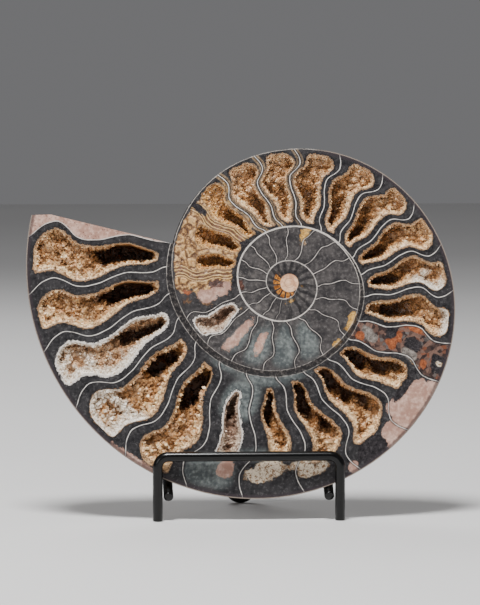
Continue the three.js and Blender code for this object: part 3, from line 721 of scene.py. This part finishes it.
def polishedFace(tree, where):
    phase, share, angle = tree.parts("coil")
    pitch, height, line = tree.parts("widths")
    band, shine, fromDisc = tree.parts("band")
    edge, pale, _ = tree.parts("edge")
    angle = angle * 1000
    slate, ochre, orange = tree.parts("slate_ochre_orange")
    cream, pinkPatch, brown = tree.parts("cream_pink_brown")
    darkPatch, greyPatch, yellow = tree.parts("dark_grey_yellow")
    broad = noise(where, 5, 3) - 0.5
    rough = noise(where, 1.3, 3) - 0.5
    fine = noise(where, 0.4, 2) - 0.5
    septum = abs(phase - phase.math("ROUND")) * pitch + rough * 0.22
    inwards, outwards = share * height, (1 - share) * height
    wall = inwards.math("MINIMUM", outwards)
    inner = step(angle, 905, 868)
    young = step(angle, 700, 480)

    black = mix(step(broad + rough, -0.35, 0.35), (30, 29, 31), (62, 60, 61))
    grey = mix(step(broad + rough, -0.3, 0.3), (47, 45, 46), (82, 78, 77))
    base = mix(inner, black, grey)
    pinkColour = mix(step(broad + rough, -0.2, 0.3), (166, 128, 112), (204, 170, 154))
    cloud = step(noise(where, 2.2, 4, 0.6), 0.5, 0.68)
    base = mix(cloud * young * 0.4, base, (132, 126, 120))
    salt = step(cells(where, 0.55), 0.22, 0.1) * step(noise(where, 2.6), 0.42, 0.6)
    base = mix(salt * 0.45, base, (150, 144, 140))

    def stain(below, distance, shade, spread):
        ragged = distance + broad * spread * 5 + rough * spread * 3.4 + fine * 1.1
        return mix(step(ragged, 0.25, -0.25), below, shade)

    def mottled(dark, light, low=-0.25, high=0.25):
        return mix(step(rough + fine, low, high), dark, light)

    slateColour = mix(step(broad + rough * 1.4, -0.3, 0.3), (74, 79, 80), (116, 122, 120))
    slateMask = step(slate + broad * 3 + rough * 1.4, 1.4, -1.6) * step(septum, 0.3, 1.1)
    base = mix(slateMask * 0.9, base, slateColour)

    # the broken pieces between two of the walls
    breccia = step(phase, brokenFrom + 0.02, brokenFrom + 0.05)
    breccia = breccia * step(phase, brokenFrom + 0.98, brokenFrom + 0.95)
    rubble, chip, _ = tree.split(cells(where, 1.5, "Color"))
    pieces = mix(step(rubble, 0.2, 0.8), (46, 37, 36), (122, 94, 82))
    pieces = mix(step(chip, 0.88, 0.9) * 0.8, pieces, (128, 76, 54))
    pieces = mix(step(chip, 0.1, 0.08) * 0.8, pieces, (104, 102, 100))
    pieces = mix(step(rough + fine, -0.1, 0.2) * 0.5, pieces, (74, 56, 50))
    base = mix(breccia * 0.95, base, pieces)

    # bands that follow the walls in the ochre part of the coil, where no wall is left
    lost = step(phase, lostWalls[0], lostWalls[0] + 0.15) * step(phase, lostWalls[1], lostWalls[1] - 0.15)
    golden = mottled((92, 60, 32), (198, 150, 92), -0.22, 0.2)
    golden = mix(step(broad + rough, 0.04, 0.22) * 0.8, golden, (220, 178, 134))
    golden = mix(step(broad - rough, 0.1, 0.24) * 0.7, golden, (84, 56, 36))
    golden = mix(step(angle, 940, 950) * step(share, 0.55, 0.65) * 0.4, golden, (232, 186, 100))
    fold = abs(phase + 0.06 - foldWalls[0]).math("MINIMUM", abs(phase + 0.04 - foldWalls[1])) * pitch
    lump = cells(where, 3.6, feature="DISTANCE_TO_EDGE")
    golden = mix(step(abs(lump + rough * 0.3 - 0.24), 0.1, 0.03) * 0.55, golden, (220, 180, 124))
    golden = mix(step(lump + rough * 0.2, 0.12, 0.03) * 0.8, golden, (78, 48, 28))
    layers = (fold * 6.2 + noise(where, 2.4, 3, 0.6) * 7).math("SINE")
    layered = mix(step(layers, -0.1, 0.75), (116, 78, 44), (206, 170, 112))
    layered = mix(step(layers, -0.5, -0.95) * 0.85, layered, (78, 48, 32))
    layered = mix(step(noise(where, 2, 2), 0.55, 0.7) * 0.4, layered, (150, 110, 100))
    golden = mix(step(fold + rough * 1.6, 2.5, 2) * 0.9, golden, layered)
    tanBand = step(septum, 1.7, 1.3) * step(septum, 0.45, 0.65)
    tanBand = tanBand * step(phase, lostWalls[1] - 0.1, lostWalls[1]) * step(angle, 1010, 985)
    base = mix(tanBand * 0.9, base, mottled((104, 84, 64), (156, 134, 108)))
    base = stain(base, ochre, golden, 0.5)

    base = stain(base, brown, mottled((52, 34, 30), (108, 76, 66)), 0.9)
    base = stain(base, pinkPatch, pinkColour, 0.55)
    base = stain(base, darkPatch, mottled((26, 24, 26), (58, 54, 56)), 0.5)
    base = stain(base, greyPatch, mottled((86, 80, 76), (146, 138, 130)), 0.35)
    base = stain(base, yellow, mottled((150, 108, 52), (224, 180, 104)), 0.7)
    base = stain(base, cream, mottled((132, 96, 62), (230, 214, 190), -0.16, 0.06), 0.6)
    base = stain(base, orange, mottled((112, 60, 38), (172, 100, 62)), 0.4)

    # the cut ends of the crystals run a little way into the stone, which is darker there
    ragged = edge + rough * 1.9 + fine * 1.7
    base = mix(step(ragged, 1.5, 0.5) * step(ochre, -1, 1) * 0.6, base, (26, 25, 26))
    haloColour = mix(step(fine + rough, -0.2, 0.2), (134, 102, 76), (206, 178, 146))
    haloColour = mix(pale, haloColour, (222, 214, 206))
    base = mix(step(ragged - pale * 0.4, 0.34, 0.06), base, haloColour)

    # the matrix that fills the mouth, with fine dark grains
    matrix = step(phase, len(walls) - 1.02, len(walls) - 0.99)
    grains = step(cells(where, 0.8), 0.32, 0.2) * step(noise(where, 1.7), 0.4, 0.52)
    matrixColour = mix(grains * 0.9, pinkColour, (84, 60, 54))
    base = mix(matrix, base, matrixColour)

    # walls of the chambers, each a thin white line between dark ones
    dark = step(septum, 0.85, 0.35) * (1 - matrix)
    base = mix(dark * (1 - lost) * 0.7, base, (28, 27, 29))
    lineMask = step(septum - step(inner, 0.5, 0.4) * 0.06, 0.18, 0.06) * step(angle, 430, 520)
    faint = step(noise(where, 2.4, 2), 0.25, 0.5)
    lineColour = mix(step(angle, 905, 930), (196, 188, 182), (206, 200, 194))
    base = mix(lineMask * (1 - lost) * (0.5 + 0.5 * faint), base, lineColour)

    # walls between the whorls
    nearWall = wall + rough * 0.5
    bandMask = step(nearWall - band, 0.3, -0.3) * step(band, 0.05, 0.3)
    bandColour = mix(step(fine + rough, -0.1, 0.35), (34, 32, 33), (82, 76, 72))
    base = mix(bandMask * 0.9, base, bandColour)
    whiteWall = step(abs(nearWall - band) - line * 0.8, 0.09, -0.06)
    whiteWall = whiteWall * (shine + (noise(where, 1.6, 2) - 0.5) * 1.3).math("MAXIMUM", 0)
    outermost = step(angle, 1000, 1010) * step(share, 0.5, 0.6)
    base = mix(whiteWall.math("MINIMUM", 1) * (1 - outermost), base, (206, 198, 190))

    # the outer edge: the shell's own thin layer over a dark one
    underLine = step(outwards + rough * 0.6, 1.9, 1.1) * outermost
    base = mix(underLine * 0.7, base, (56, 48, 52))
    base = mix(step(outwards + rough * 0.25, 0.5, 0.3) * outermost, base, (134, 122, 112))

    # the first chamber, a pale disc, and the orange ones beside it
    beside = step(fromDisc + rough, centreDisc["orangeRadius"] + 0.3, centreDisc["orangeRadius"] - 0.3)
    beside = beside * step(angle, 40, 62) * step(angle, 240, 215)
    warm = mix(step(rough + fine, -0.15, 0.2), (120, 68, 28), (206, 140, 66))
    spokes = step((angle * 0.24 + rough * 2).math("SINE"), -0.75, -0.4)
    base = mix(beside * spokes, base, warm)
    disc = step(fromDisc + rough * 0.5, centreDisc["radius"] + 0.15, centreDisc["radius"] - 0.15)
    discColour = mix(step(broad + rough, -0.2, 0.2), (198, 146, 112), (236, 194, 158))
    discColour = mix(step(abs(fromDisc + rough * 0.6 - 1.9), 0.25, 0.1) * 0.5, discColour, (150, 108, 88))
    base = mix(disc, base, discColour)
    # unpolished crystals in the ochre part, its lumps and layers in low relief
    rawCrystal = step(ochre + broad * 2.5 + rough * 1.7, 0.25, -0.25) * step(darkPatch, -0.3, 0.3)
    relief = step(lump, 0, 0.3) * 1.4 + rough * 3 + fine + layers * step(fold, 2.4, 2) * 0.35
    raised = bump(fine * 0.02 + relief * rawCrystal * 0.22, 0.7, 0.0008)
    polish = 0.2 + 0.12 * (rough + 0.5) + 0.16 * rawCrystal
    return {"Base Color": base, "Roughness": polish, "Normal": raised}


def shellBack(tree, where):
    # the shell seen from behind: polished, with the fern-like edges of the chamber walls
    phase, share, angle = tree.parts("across")
    lobes = (share * 34).math("SINE") * 0.1 + (share * 87 + 1).math("SINE") * 0.045
    lobes = lobes + (share * 190).math("SINE") * 0.02 + (noise(where, 1.3, 3) - 0.5) * 0.07
    suture = abs(phase + lobes - (phase + lobes).math("ROUND"))
    line = step(suture, 0.045, 0.02)
    broad = noise(where, 14, 4, 0.6)
    rough = noise(where, 2, 4, 0.6)
    base = mix(step(broad, 0.35, 0.65), (62, 50, 42), (112, 92, 72))
    base = mix(step(rough, 0.45, 0.75) * 0.6, base, (150, 128, 102))
    base = mix(line * 0.8, base, (34, 28, 26))
    pearl = step(noise(where, 9, 3, 0.55, 1), 0.56, 0.66)
    sheen = mix(step(noise(where, 4, 2), 0.4, 0.6), (128, 66, 44), (66, 104, 66))
    base = mix(pearl * 0.55, base, sheen)
    raised = bump(rough - line * 0.5, 0.3, 0.0002)
    return {"Base Color": base, "Roughness": 0.24 + 0.2 * rough, "Normal": raised}


def sawnMouth(tree, where):
    rough = noise(where, 1.5, 4, 0.6)
    grains = step(cells(where, 0.8), 0.25, 0.15)
    base = mix(step(rough, 0.35, 0.65), (150, 118, 102), (204, 174, 160))
    base = mix(grains * 0.6, base, (84, 62, 56))
    return {"Base Color": base, "Roughness": 0.5, "Normal": bump(rough, 0.3, 0.0002)}


def buildStone():
    bm = shell()
    rings = {name: hollowRing(hollow, 1, cutGap, 96)[:2] for name, hollow in hollows.items()}
    cutFace(bm, list(rings.values()))
    isFace = bm.faces.layers.int["isFace"]
    vertAt = openVerts(bm)
    for name, hollow in hollows.items():
        pocket(bm, hollow, [vertAt(x, y) for x, y in zip(*rings[name])])
    for face in bm.faces:
        centre = face.calc_center_median()
        upright = abs(face.normal.z) < 0.2 and centre.x < 0 and centre.y > 2
        if face[isFace]:
            face.material_index = 0
        elif upright and distanceToCut(centre) < 0.05:
            face.material_index = 2
        else:
            face.material_index = 1
    made = newObject("ammonite_stone", bm)
    mesh = made.data
    markFace(mesh, np.flatnonzero(read(mesh.attributes["isFace"].data, "value", kind=int)))
    markBack(mesh)
    mesh.attributes.remove(mesh.attributes["isFace"])
    smoothBy(mesh, 32)
    for name, look in (("polished_face", polishedFace), ("shell_back", shellBack), ("sawn_mouth", sawnMouth)):
        mesh.materials.append(newMaterial(name, look))
    mesh.transform(toWorld)
    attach(made, "root")
    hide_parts("ammonite_half")
    return made


def distanceToCut(place):
    points = [Vector(p) for p in (*mouth["cut"], mouth["cutEnd"])]
    best = 99
    for a, b in zip(points, points[1:]):
        along = (b - a).normalized()
        out = (place.xy - a) - along * (place.xy - a).dot(along)
        best = min(best, out.length)
    return best


def markBack(mesh):
    x, y = read(mesh.vertices, "co", 3)[:, :2].T
    angle = backAngle(x, y)
    edge = outerRadius(angle)
    share = np.clip((np.hypot(x, y) / edge - fossil["umbilicus"]) / (1 - fossil["umbilicus"]), 0, 1)
    places = np.array([wallAngle(wall, np.full_like(angle, 0.5)) for wall in walls])
    phase = np.zeros_like(angle)
    for before, after in zip(places, places[1:]):
        phase += np.clip((angle - before) / (after - before), 0, 1)
    writePoints(mesh, "across", phase, share, angle / 1000)


stone = buildStone()
print("stone", len(stone.data.polygons))


# The crystals: a lining for each hollow, steep under its upper edge and sloping up to its lower one
lining = {
    "sides": 144, "rings": 24,
    "rim": 0.26,                       # width of the flat rim
    "proud": -0.02,                    # its height over the cut face
    "ventral": 2.7, "dorsal": 4.2,     # how deep the crystals lie near the outer and the inner edge
    "steep": 0.35, "gentle": 3.9,      # width of the slope under the upper edge and over the lower one
    "lump": 2.7,
}
# One crystal: half its width in millimetres, and how the crystals differ
grain = {"size": 0.33, "spread": 0.38, "largest": 1.7, "tallest": 1.75, "tilt": 0.42, "perArea": 2.4}


def bumps(x, y, size, seed):
    return np.array([mathutils.noise.noise(Vector((a / size, b / size, seed))) for a, b in zip(x, y)])


def lumps(x, y, seed):
    # crystals grow in rounded lumps: how far each place is from its lump's middle, and how near the next lump
    size = lining["lump"]
    near = [mathutils.noise.voronoi(Vector((a / size, b / size, seed)))[0][:2] for a, b in zip(x, y)]
    near = np.array(near)
    return near[:, 0], smooth(near[:, 1] - near[:, 0], 0.24, 0.02)


def buildLining(bm, hollow, seed):
    # nested rings: the floor behind, the cut edge, then inwards over the crystals to the hollow's middle line
    sides = lining["sides"]
    x, y, _, _, depth = hollowRing(hollow, pocketTaper, 0, sides)
    rings = [np.stack([x, y, -depth - crustFloor], -1)]
    edgeX, edgeY, *_ = hollowRing(hollow, 1, 0, sides)
    midX, midY, *_ = hollowRing(hollow, 0, 0, sides)
    half = np.maximum(np.hypot(edgeX - midX, edgeY - midY), 0.3)
    downwards = (midY - edgeY) / half
    rings.append(np.stack([edgeX, edgeY, np.full(sides, lining["proud"])], -1))
    rimScale = 1 - min(lining["rim"] / float(np.median(half)), 0.3)
    slope = lining["steep"] + (lining["gentle"] - lining["steep"]) * smooth(downwards, -0.2, 0.7)
    slope = np.minimum(slope, 0.95 * rimScale * half)
    for scale in rimScale * (1 - np.linspace(0, 1, lining["rings"]) ** 1.3):
        x, y, angle, share, depth = hollowRing(hollow, scale, 0, sides)
        inwards = (rimScale - scale) * half
        wave = bumps(x, y, 1.5, seed) * 0.4 + bumps(x, y, 4.5, seed + 9) * 1.2
        dome = 2.6 * lumps(x, y, seed)[0] ** 2 - 0.4
        pit = smooth(nearest(angle, share, hollow["pits"]) + wave * 1.3, 2.3, -0.9)
        low = lining["dorsal"] + (lining["ventral"] - lining["dorsal"]) * smooth(share, 0.35, 0.65)
        low = low + 1.2 * wave
        low = np.minimum(np.maximum(low + dome, 0.6), depth)
        sunk = (low + pit * np.maximum(depth - low, 1)) * smooth(inwards, -0.05, slope) ** 0.85
        rings.append(np.stack([x, y, lining["proud"] - sunk], -1))
    # how far round to the lower side of the hollow each place lies; the crystals there are painted lighter,
    # as painted light
    paintedLightBank = bm.verts.layers.float.new("paintedLightBank")
    verts = [[bm.verts.new(place) for place in ring] for ring in rings]
    for ring in verts:
        for vert, part in zip(ring, smooth(downwards, -0.3, 0.6)):
            vert[paintedLightBank] = part
    for before, after in zip(verts, verts[1:]):
        bridge(bm, before, after)
    bm.faces.new(verts[0][::-1])
    bmesh.ops.remove_doubles(bm, verts=verts[-1], dist=1e-3)
    bmesh.ops.triangulate(bm, faces=bm.faces)
    bmesh.ops.dissolve_degenerate(bm, edges=bm.edges, dist=1e-4)


cube = np.array([(x, y, z) for x in (-1, 1) for y in (-1, 1) for z in (-1, 1)]) / math.sqrt(3)
onEnd = np.array(Vector((1, 1, 1)).rotation_difference(Vector((0, 0, 1))).to_matrix())
rhomb = cube @ onEnd.T
rhombFaces = np.array([(0, 1, 3, 2), (4, 6, 7, 5), (0, 4, 5, 1), (2, 3, 7, 6), (0, 2, 6, 4), (1, 5, 7, 3)])


def crystals(mesh, hollow, rng):
    # rhombs on end, rooted in the lining's open faces and cut off at the polished face
    tri = read(mesh.polygons, "vertices", 3, int)
    corners = read(mesh.vertices, "co", 3)[tri]
    normal = np.cross(corners[:, 1] - corners[:, 0], corners[:, 2] - corners[:, 0])
    area = np.linalg.norm(normal, axis=1) / 2
    normal /= np.maximum(2 * area, 1e-9)[:, None]
    rooted = (corners[:, :, 2].max(1) < -0.1) & (normal[:, 2] > 0.02)
    coarse = hollow.get("coarse", 1)
    chance = np.where(rooted, area, 0)
    count = int(chance.sum() * grain["perArea"] / coarse ** 1.4)
    chosen = rng.choice(len(area), count, p=chance / chance.sum())
    weights = rng.dirichlet((1, 1, 1), count)
    spot = (corners[chosen] * weights[:, :, None]).sum(1)
    axis = normal[chosen] + rng.normal(0, grain["tilt"], (count, 3)) + (0, 0, 0.35)
    axis /= np.linalg.norm(axis, axis=1)[:, None]
    side = np.cross(axis, rng.normal(0, 1, (count, 3)))
    side /= np.linalg.norm(side, axis=1)[:, None]
    third = np.cross(axis, side)
    size = grain["size"] * coarse * np.minimum(rng.lognormal(0, grain["spread"], count), grain["largest"])
    tall = size * rng.uniform(1, grain["tallest"], count)
    points = spot[:, None]
    for share, reach in ((rhomb[:, 0], (side.T * size).T), (rhomb[:, 1], (third.T * size).T),
                         (rhomb[:, 2] + 0.3, (axis.T * tall).T)):
        points = points + share[:, None] * reach[:, None]
    points[:, :, 2] = np.minimum(points[:, :, 2], -0.06 - 0.02 * rhomb[:, 2])
    faces = (np.arange(count)[:, None, None] * 8 + rhombFaces).reshape(-1, 4)
    return points.reshape(-1, 3), faces, tri[chosen, 0]


def buildCrust(name, hollow, seed):
    bm = bmesh.new()
    buildLining(bm, hollow, seed)
    made = newObject("crystals_" + name, bm)
    mesh = made.data
    rng = np.random.default_rng(seed)
    points, quads, roots = crystals(mesh, hollow, rng)
    bed = len(mesh.vertices)
    paintedLightBank = read(mesh.attributes["paintedLightBank"].data, "value")
    place = read(mesh.vertices, "co", 3)
    every = np.concatenate([place, points])
    faces = [tuple(face.vertices) for face in mesh.polygons] + [tuple(face) for face in quads + bed]
    mesh.clear_geometry()
    mesh.from_pydata(every, [], faces)
    angle = frontAngle(every[:, 0], every[:, 1])
    inner = outerRadius(angle - 360)
    share = (np.hypot(every[:, 0], every[:, 1]) - inner) / (outerRadius(angle) - inner)
    frost = smooth(nearest(angle, share, hollow.get("frost", [])), 1.2, -1.2)
    tone = np.concatenate([np.full(bed, 0.5), np.repeat(rng.random(len(roots)), 8)])
    writePoints(mesh, "lining", -every[:, 2], frost, tone)
    # the crevices between the lumps, which the crystals' material darkens as painted shade
    paintedCreviceShade = lumps(*place[:, :2].T, seed)[1]
    for key, values in {"paintedLightBank": paintedLightBank, "paintedCreviceShade": paintedCreviceShade}.items():
        attribute = mesh.attributes.get(key) or mesh.attributes.new(key, "FLOAT", "POINT")
        attribute.data.foreach_set("value", np.concatenate([values, np.repeat(values[roots], 8)]))
    tint = hollow.get("tint", "tan")
    mesh.materials.append(druses[hollow.get("shade", tint)])
    mesh.transform(toWorld)
    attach(made, "root")
    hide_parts("crust_" + name)
    tint + "_druse"
    return made


# Crystal colours at the cut rim, near the top, further down and in the pits; the darker ones further down and
# in the pits are painted shade
druseShades = {
    "tan": [(204, 166, 124), (242, 208, 162), (188, 140, 90), (66, 42, 24)],
    "pale": [(220, 204, 186), (238, 218, 194), (204, 164, 124), (64, 44, 30)],
    "dusky": [(208, 190, 174), (212, 190, 170), (160, 130, 110), (52, 40, 34)],
    "ochre": [(192, 148, 92), (220, 174, 112), (172, 120, 64), (62, 40, 20)],
}


def druse(shades):
    def build(tree, where):
        depth, frost, tone = tree.parts("lining")
        paintedCreviceShade, paintedLightBank = tree.attribute("paintedCreviceShade", "Fac"), tree.attribute("paintedLightBank", "Fac")
        broad = noise(where, 4.5, 3) - 0.5
        rough = noise(where, 1.1, 3) - 0.5
        grain = noise(where, 0.45, 2) - 0.5
        rim, crest, middle, pit = shades
        level = depth + broad * 4 + rough * 1.6
        # painted light and shade: the lower bank gets the lighter crest colour, the upper side the darker
        # middle one
        base = mix(0.35 + 0.65 * step(paintedLightBank + rough, 0.1, 0.7), middle, crest)
        # painted shade: the deeper the crystals lie, the darker they are painted, down to the pit colour
        base = mix(step(level, 1.2, 3.4), base, middle)
        base = mix(step(level, 4.2, 9), base, pit)
        base = mix(step(rough + grain, 0.05, 0.3) * step(depth, 5, 2) * 0.6, base, (240, 226, 204))
        base = mix(step(broad + rough, -0.1, -0.35) * 0.4, base, (118, 76, 44))
        # painted shade in the crevices between the lumps
        base = mix(paintedCreviceShade * step(depth, 0.6, 1.6) * 0.6, base, (94, 58, 30))
        frostColour = mix(step(rough + grain, -0.2, 0.05), (186, 160, 132), (236, 228, 216))
        # the frost gives way to that painted shade deeper down
        base = mix(frost * step(level, 3.4, 1.4), base, frostColour)
        rimColour = mix(step(rough + grain, -0.14, 0.12), (104, 74, 48), rim)
        rimColour = mix(frost, rimColour, frostColour)
        base = mix(step(depth, 0.35, 0.05), base, rimColour)
        base = mix(0.45, base, mix(tone, (0.16, 0.14, 0.12, 1), (0.9, 0.88, 0.85, 1)), "OVERLAY")
        return {"Base Color": base, "Roughness": 0.26 + 0.3 * (rough + 0.5)}
    return build


druses = {name: newMaterial(name + "_druse", druse(shades)) for name, shades in druseShades.items()}
for seed, (name, hollow) in enumerate(hollows.items()):
    buildCrust(name, hollow, seed + 11)


# The stand: 4 mm wire, bent, each end slightly rounded
wire = {"across": 4, "sides": 28, "bendStep": 6, "fit": 0.992}
stand = {
    "hoopWidth": 73, "hoopHeight": 27.9, "hoopBend": 4.2, "armStart": 9.6, "armPitch": 28, "setback": 25.4,
    "frameTop": 98, "frameBend": 7, "rearFoot": 62, "rearSpread": 9, "rearBend": 4.41, "gap": 0.3}


def bentPath(corners, radius):
    # the wire's middle line: straight between its corners, with a round bend at each
    corners = [Vector(corner) for corner in corners]
    path = [corners[0]]
    for before, corner, after in zip(corners, corners[1:], corners[2:]):
        arriving, leaving = (corner - before).normalized(), (after - corner).normalized()
        turn = arriving.angle(leaving)
        start = corner - arriving * radius * math.tan(turn / 2)
        inward = (leaving - arriving * leaving.dot(arriving)).normalized()
        steps = max(2, round(math.degrees(turn) / wire["bendStep"]))
        for i in range(steps + 1):
            a = turn * i / steps
            path.append(start + arriving * radius * math.sin(a) + inward * radius * (1 - math.cos(a)))
    return [*path, corners[-1]]


def bendWire(name, corners, radius):
    path = bentPath(corners, radius)
    ends = [(0, 0.82), (0.16, 0.94), (0.4, 1)]
    first, last = (path[1] - path[0]).normalized(), (path[-1] - path[-2]).normalized()
    stations = [(path[0] + first * back, size) for back, size in ends]
    stations += [(place, 1) for place in path[1:-1]]
    stations += [(path[-1] - last * back, size) for back, size in reversed(ends)]
    bm = bmesh.new()
    rings = []
    across = first.orthogonal().normalized()
    for k, (place, size) in enumerate(stations):
        before, after = stations[max(k - 1, 0)][0], stations[min(k + 1, len(stations) - 1)][0]
        tangent = (after - before).normalized()
        across = (across - tangent * across.dot(tangent)).normalized()
        upward = tangent.cross(across)
        turns = [2 * math.pi * i / wire["sides"] for i in range(wire["sides"])]
        reach = wire["across"] / 2 * size * wire["fit"]
        spokes = [(across * math.cos(a) + upward * math.sin(a)) * reach for a in turns]
        rings.append([bm.verts.new(place + spoke) for spoke in spokes])
    for before, after in zip(rings, rings[1:]):
        bridge(bm, before, after)
    bm.faces.new(rings[0][::-1])
    bm.faces.new(rings[-1])
    made = newObject(name + "_wire", bm)
    smoothBy(made.data, 50)
    made.data.materials.append(gloss)
    made.data.transform(Matrix.Translation(standMiddle) @ Matrix.Scale(mm, 4))
    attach(made, "root")
    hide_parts(name)


def glossBlack(tree, where):
    ripple = noise(where, 2.2, 2) - 0.5
    dust = step(noise(where, 0.5, 3), 0.55, 0.8)
    base = mix(dust * 0.1, (5, 5, 5), (60, 58, 56))
    return {"Base Color": base, "Roughness": 0.22 + 0.1 * dust, "Normal": bump(ripple, 0.06, 0.0003)}


varnish = {"Coat Weight": 0.12, "Coat Roughness": 0.08, "Specular IOR Level": 0.28}
gloss = newMaterial("black_wire", glossBlack, **varnish)
lean = math.tan(math.radians(fossil["lean"]))
pitch = math.tan(math.radians(stand["armPitch"]))
side, top = stand["hoopWidth"] / 2, stand["hoopHeight"] - wire["across"] / 2
bendWire("front_hoop", [(-side, 0, 0), (-side, 0, top), (side, 0, top), (side, 0, 0)], stand["hoopBend"])
inside = side - wire["across"] - stand["gap"]
armEnd = (stand["setback"] + lean * stand["armStart"]) / (1 - lean * pitch)
frameTopY = stand["setback"] + lean * stand["frameTop"]
arm = [(0, stand["armStart"]), (armEnd, stand["armStart"] + pitch * armEnd), (frameTopY, stand["frameTop"])]
bendWire("back_frame", [(-inside, *place) for place in arm] + [(inside, *place) for place in reversed(arm)],
         stand["frameBend"])
spread, behind = stand["rearSpread"] / 2, frameTopY + wire["across"] + stand["gap"]
foot, head = (stand["rearFoot"], wire["across"] / 2), (behind, stand["frameTop"] + 1)
hairpin = [(-spread, *head), (-spread, *foot), (spread, *foot), (spread, *head)]
bendWire("rear_leg", hairpin, stand["rearBend"])
print("stand")


# The room: a plain pale floor, soft light and the photograph's view
def floorLook(tree, where):
    return {"Base Color": mix(noise(where, 300, 2), (206, 205, 204), (214, 213, 212))}


bm = bmesh.new()
bmesh.ops.create_grid(bm, x_segments=1, y_segments=1, size=3)
floor = newObject("floor", bm)
floor.data.materials.append(newMaterial("floor", floorLook, Roughness=0.85))

view = {"azimuth": -3.2, "elevation": 3.8, "distance": 1.6, "high": 0.241, "lookAt": (-1.2, -31, 87.5)}


def softLight(name, place, size, power, aim):
    data = bpy.data.lights.new(name, "AREA")
    data.shape, data.size, data.energy = "DISK", size, power
    light = bpy.data.objects.new(name, data)
    light.location = place
    light.rotation_euler = (Vector(aim) - Vector(place)).to_track_quat("-Z", "Y").to_euler()
    bpy.context.scene.collection.objects.link(light)


softLight("key", (-0.15, -0.5, 1.25), 0.4, 30, (0, 0, 0.07))
softLight("fill", (-0.9, -1.1, 0.5), 0.6, 3, (0, 0, 0.07))
softLight("behind", (-0.3, 0.9, 0.9), 0.8, 6, (0, 0, 0.06))

world = bpy.data.worlds.new("room")
world.use_nodes = True
background = world.node_tree.nodes["Background"].inputs
background["Color"].default_value, background["Strength"].default_value = (0.33, 0.33, 0.34, 1), 0.5
bpy.context.scene.world = world

camera = bpy.data.objects.new("camera", bpy.data.cameras.new("camera"))
azimuth, elevation = math.radians(view["azimuth"]), math.radians(view["elevation"])
outwards = Vector((math.sin(azimuth) * math.cos(elevation), -math.cos(azimuth) * math.cos(elevation),
                   math.sin(elevation)))
lookAt = Vector(view["lookAt"]) * mm
camera.location = lookAt + outwards * view["distance"]
camera.rotation_euler = (-outwards).to_track_quat("-Z", "Y").to_euler()
camera.data.sensor_fit = "VERTICAL"
camera.data.lens = camera.data.sensor_height * view["distance"] / view["high"]
bpy.context.scene.collection.objects.link(camera)
bpy.context.scene.camera = camera
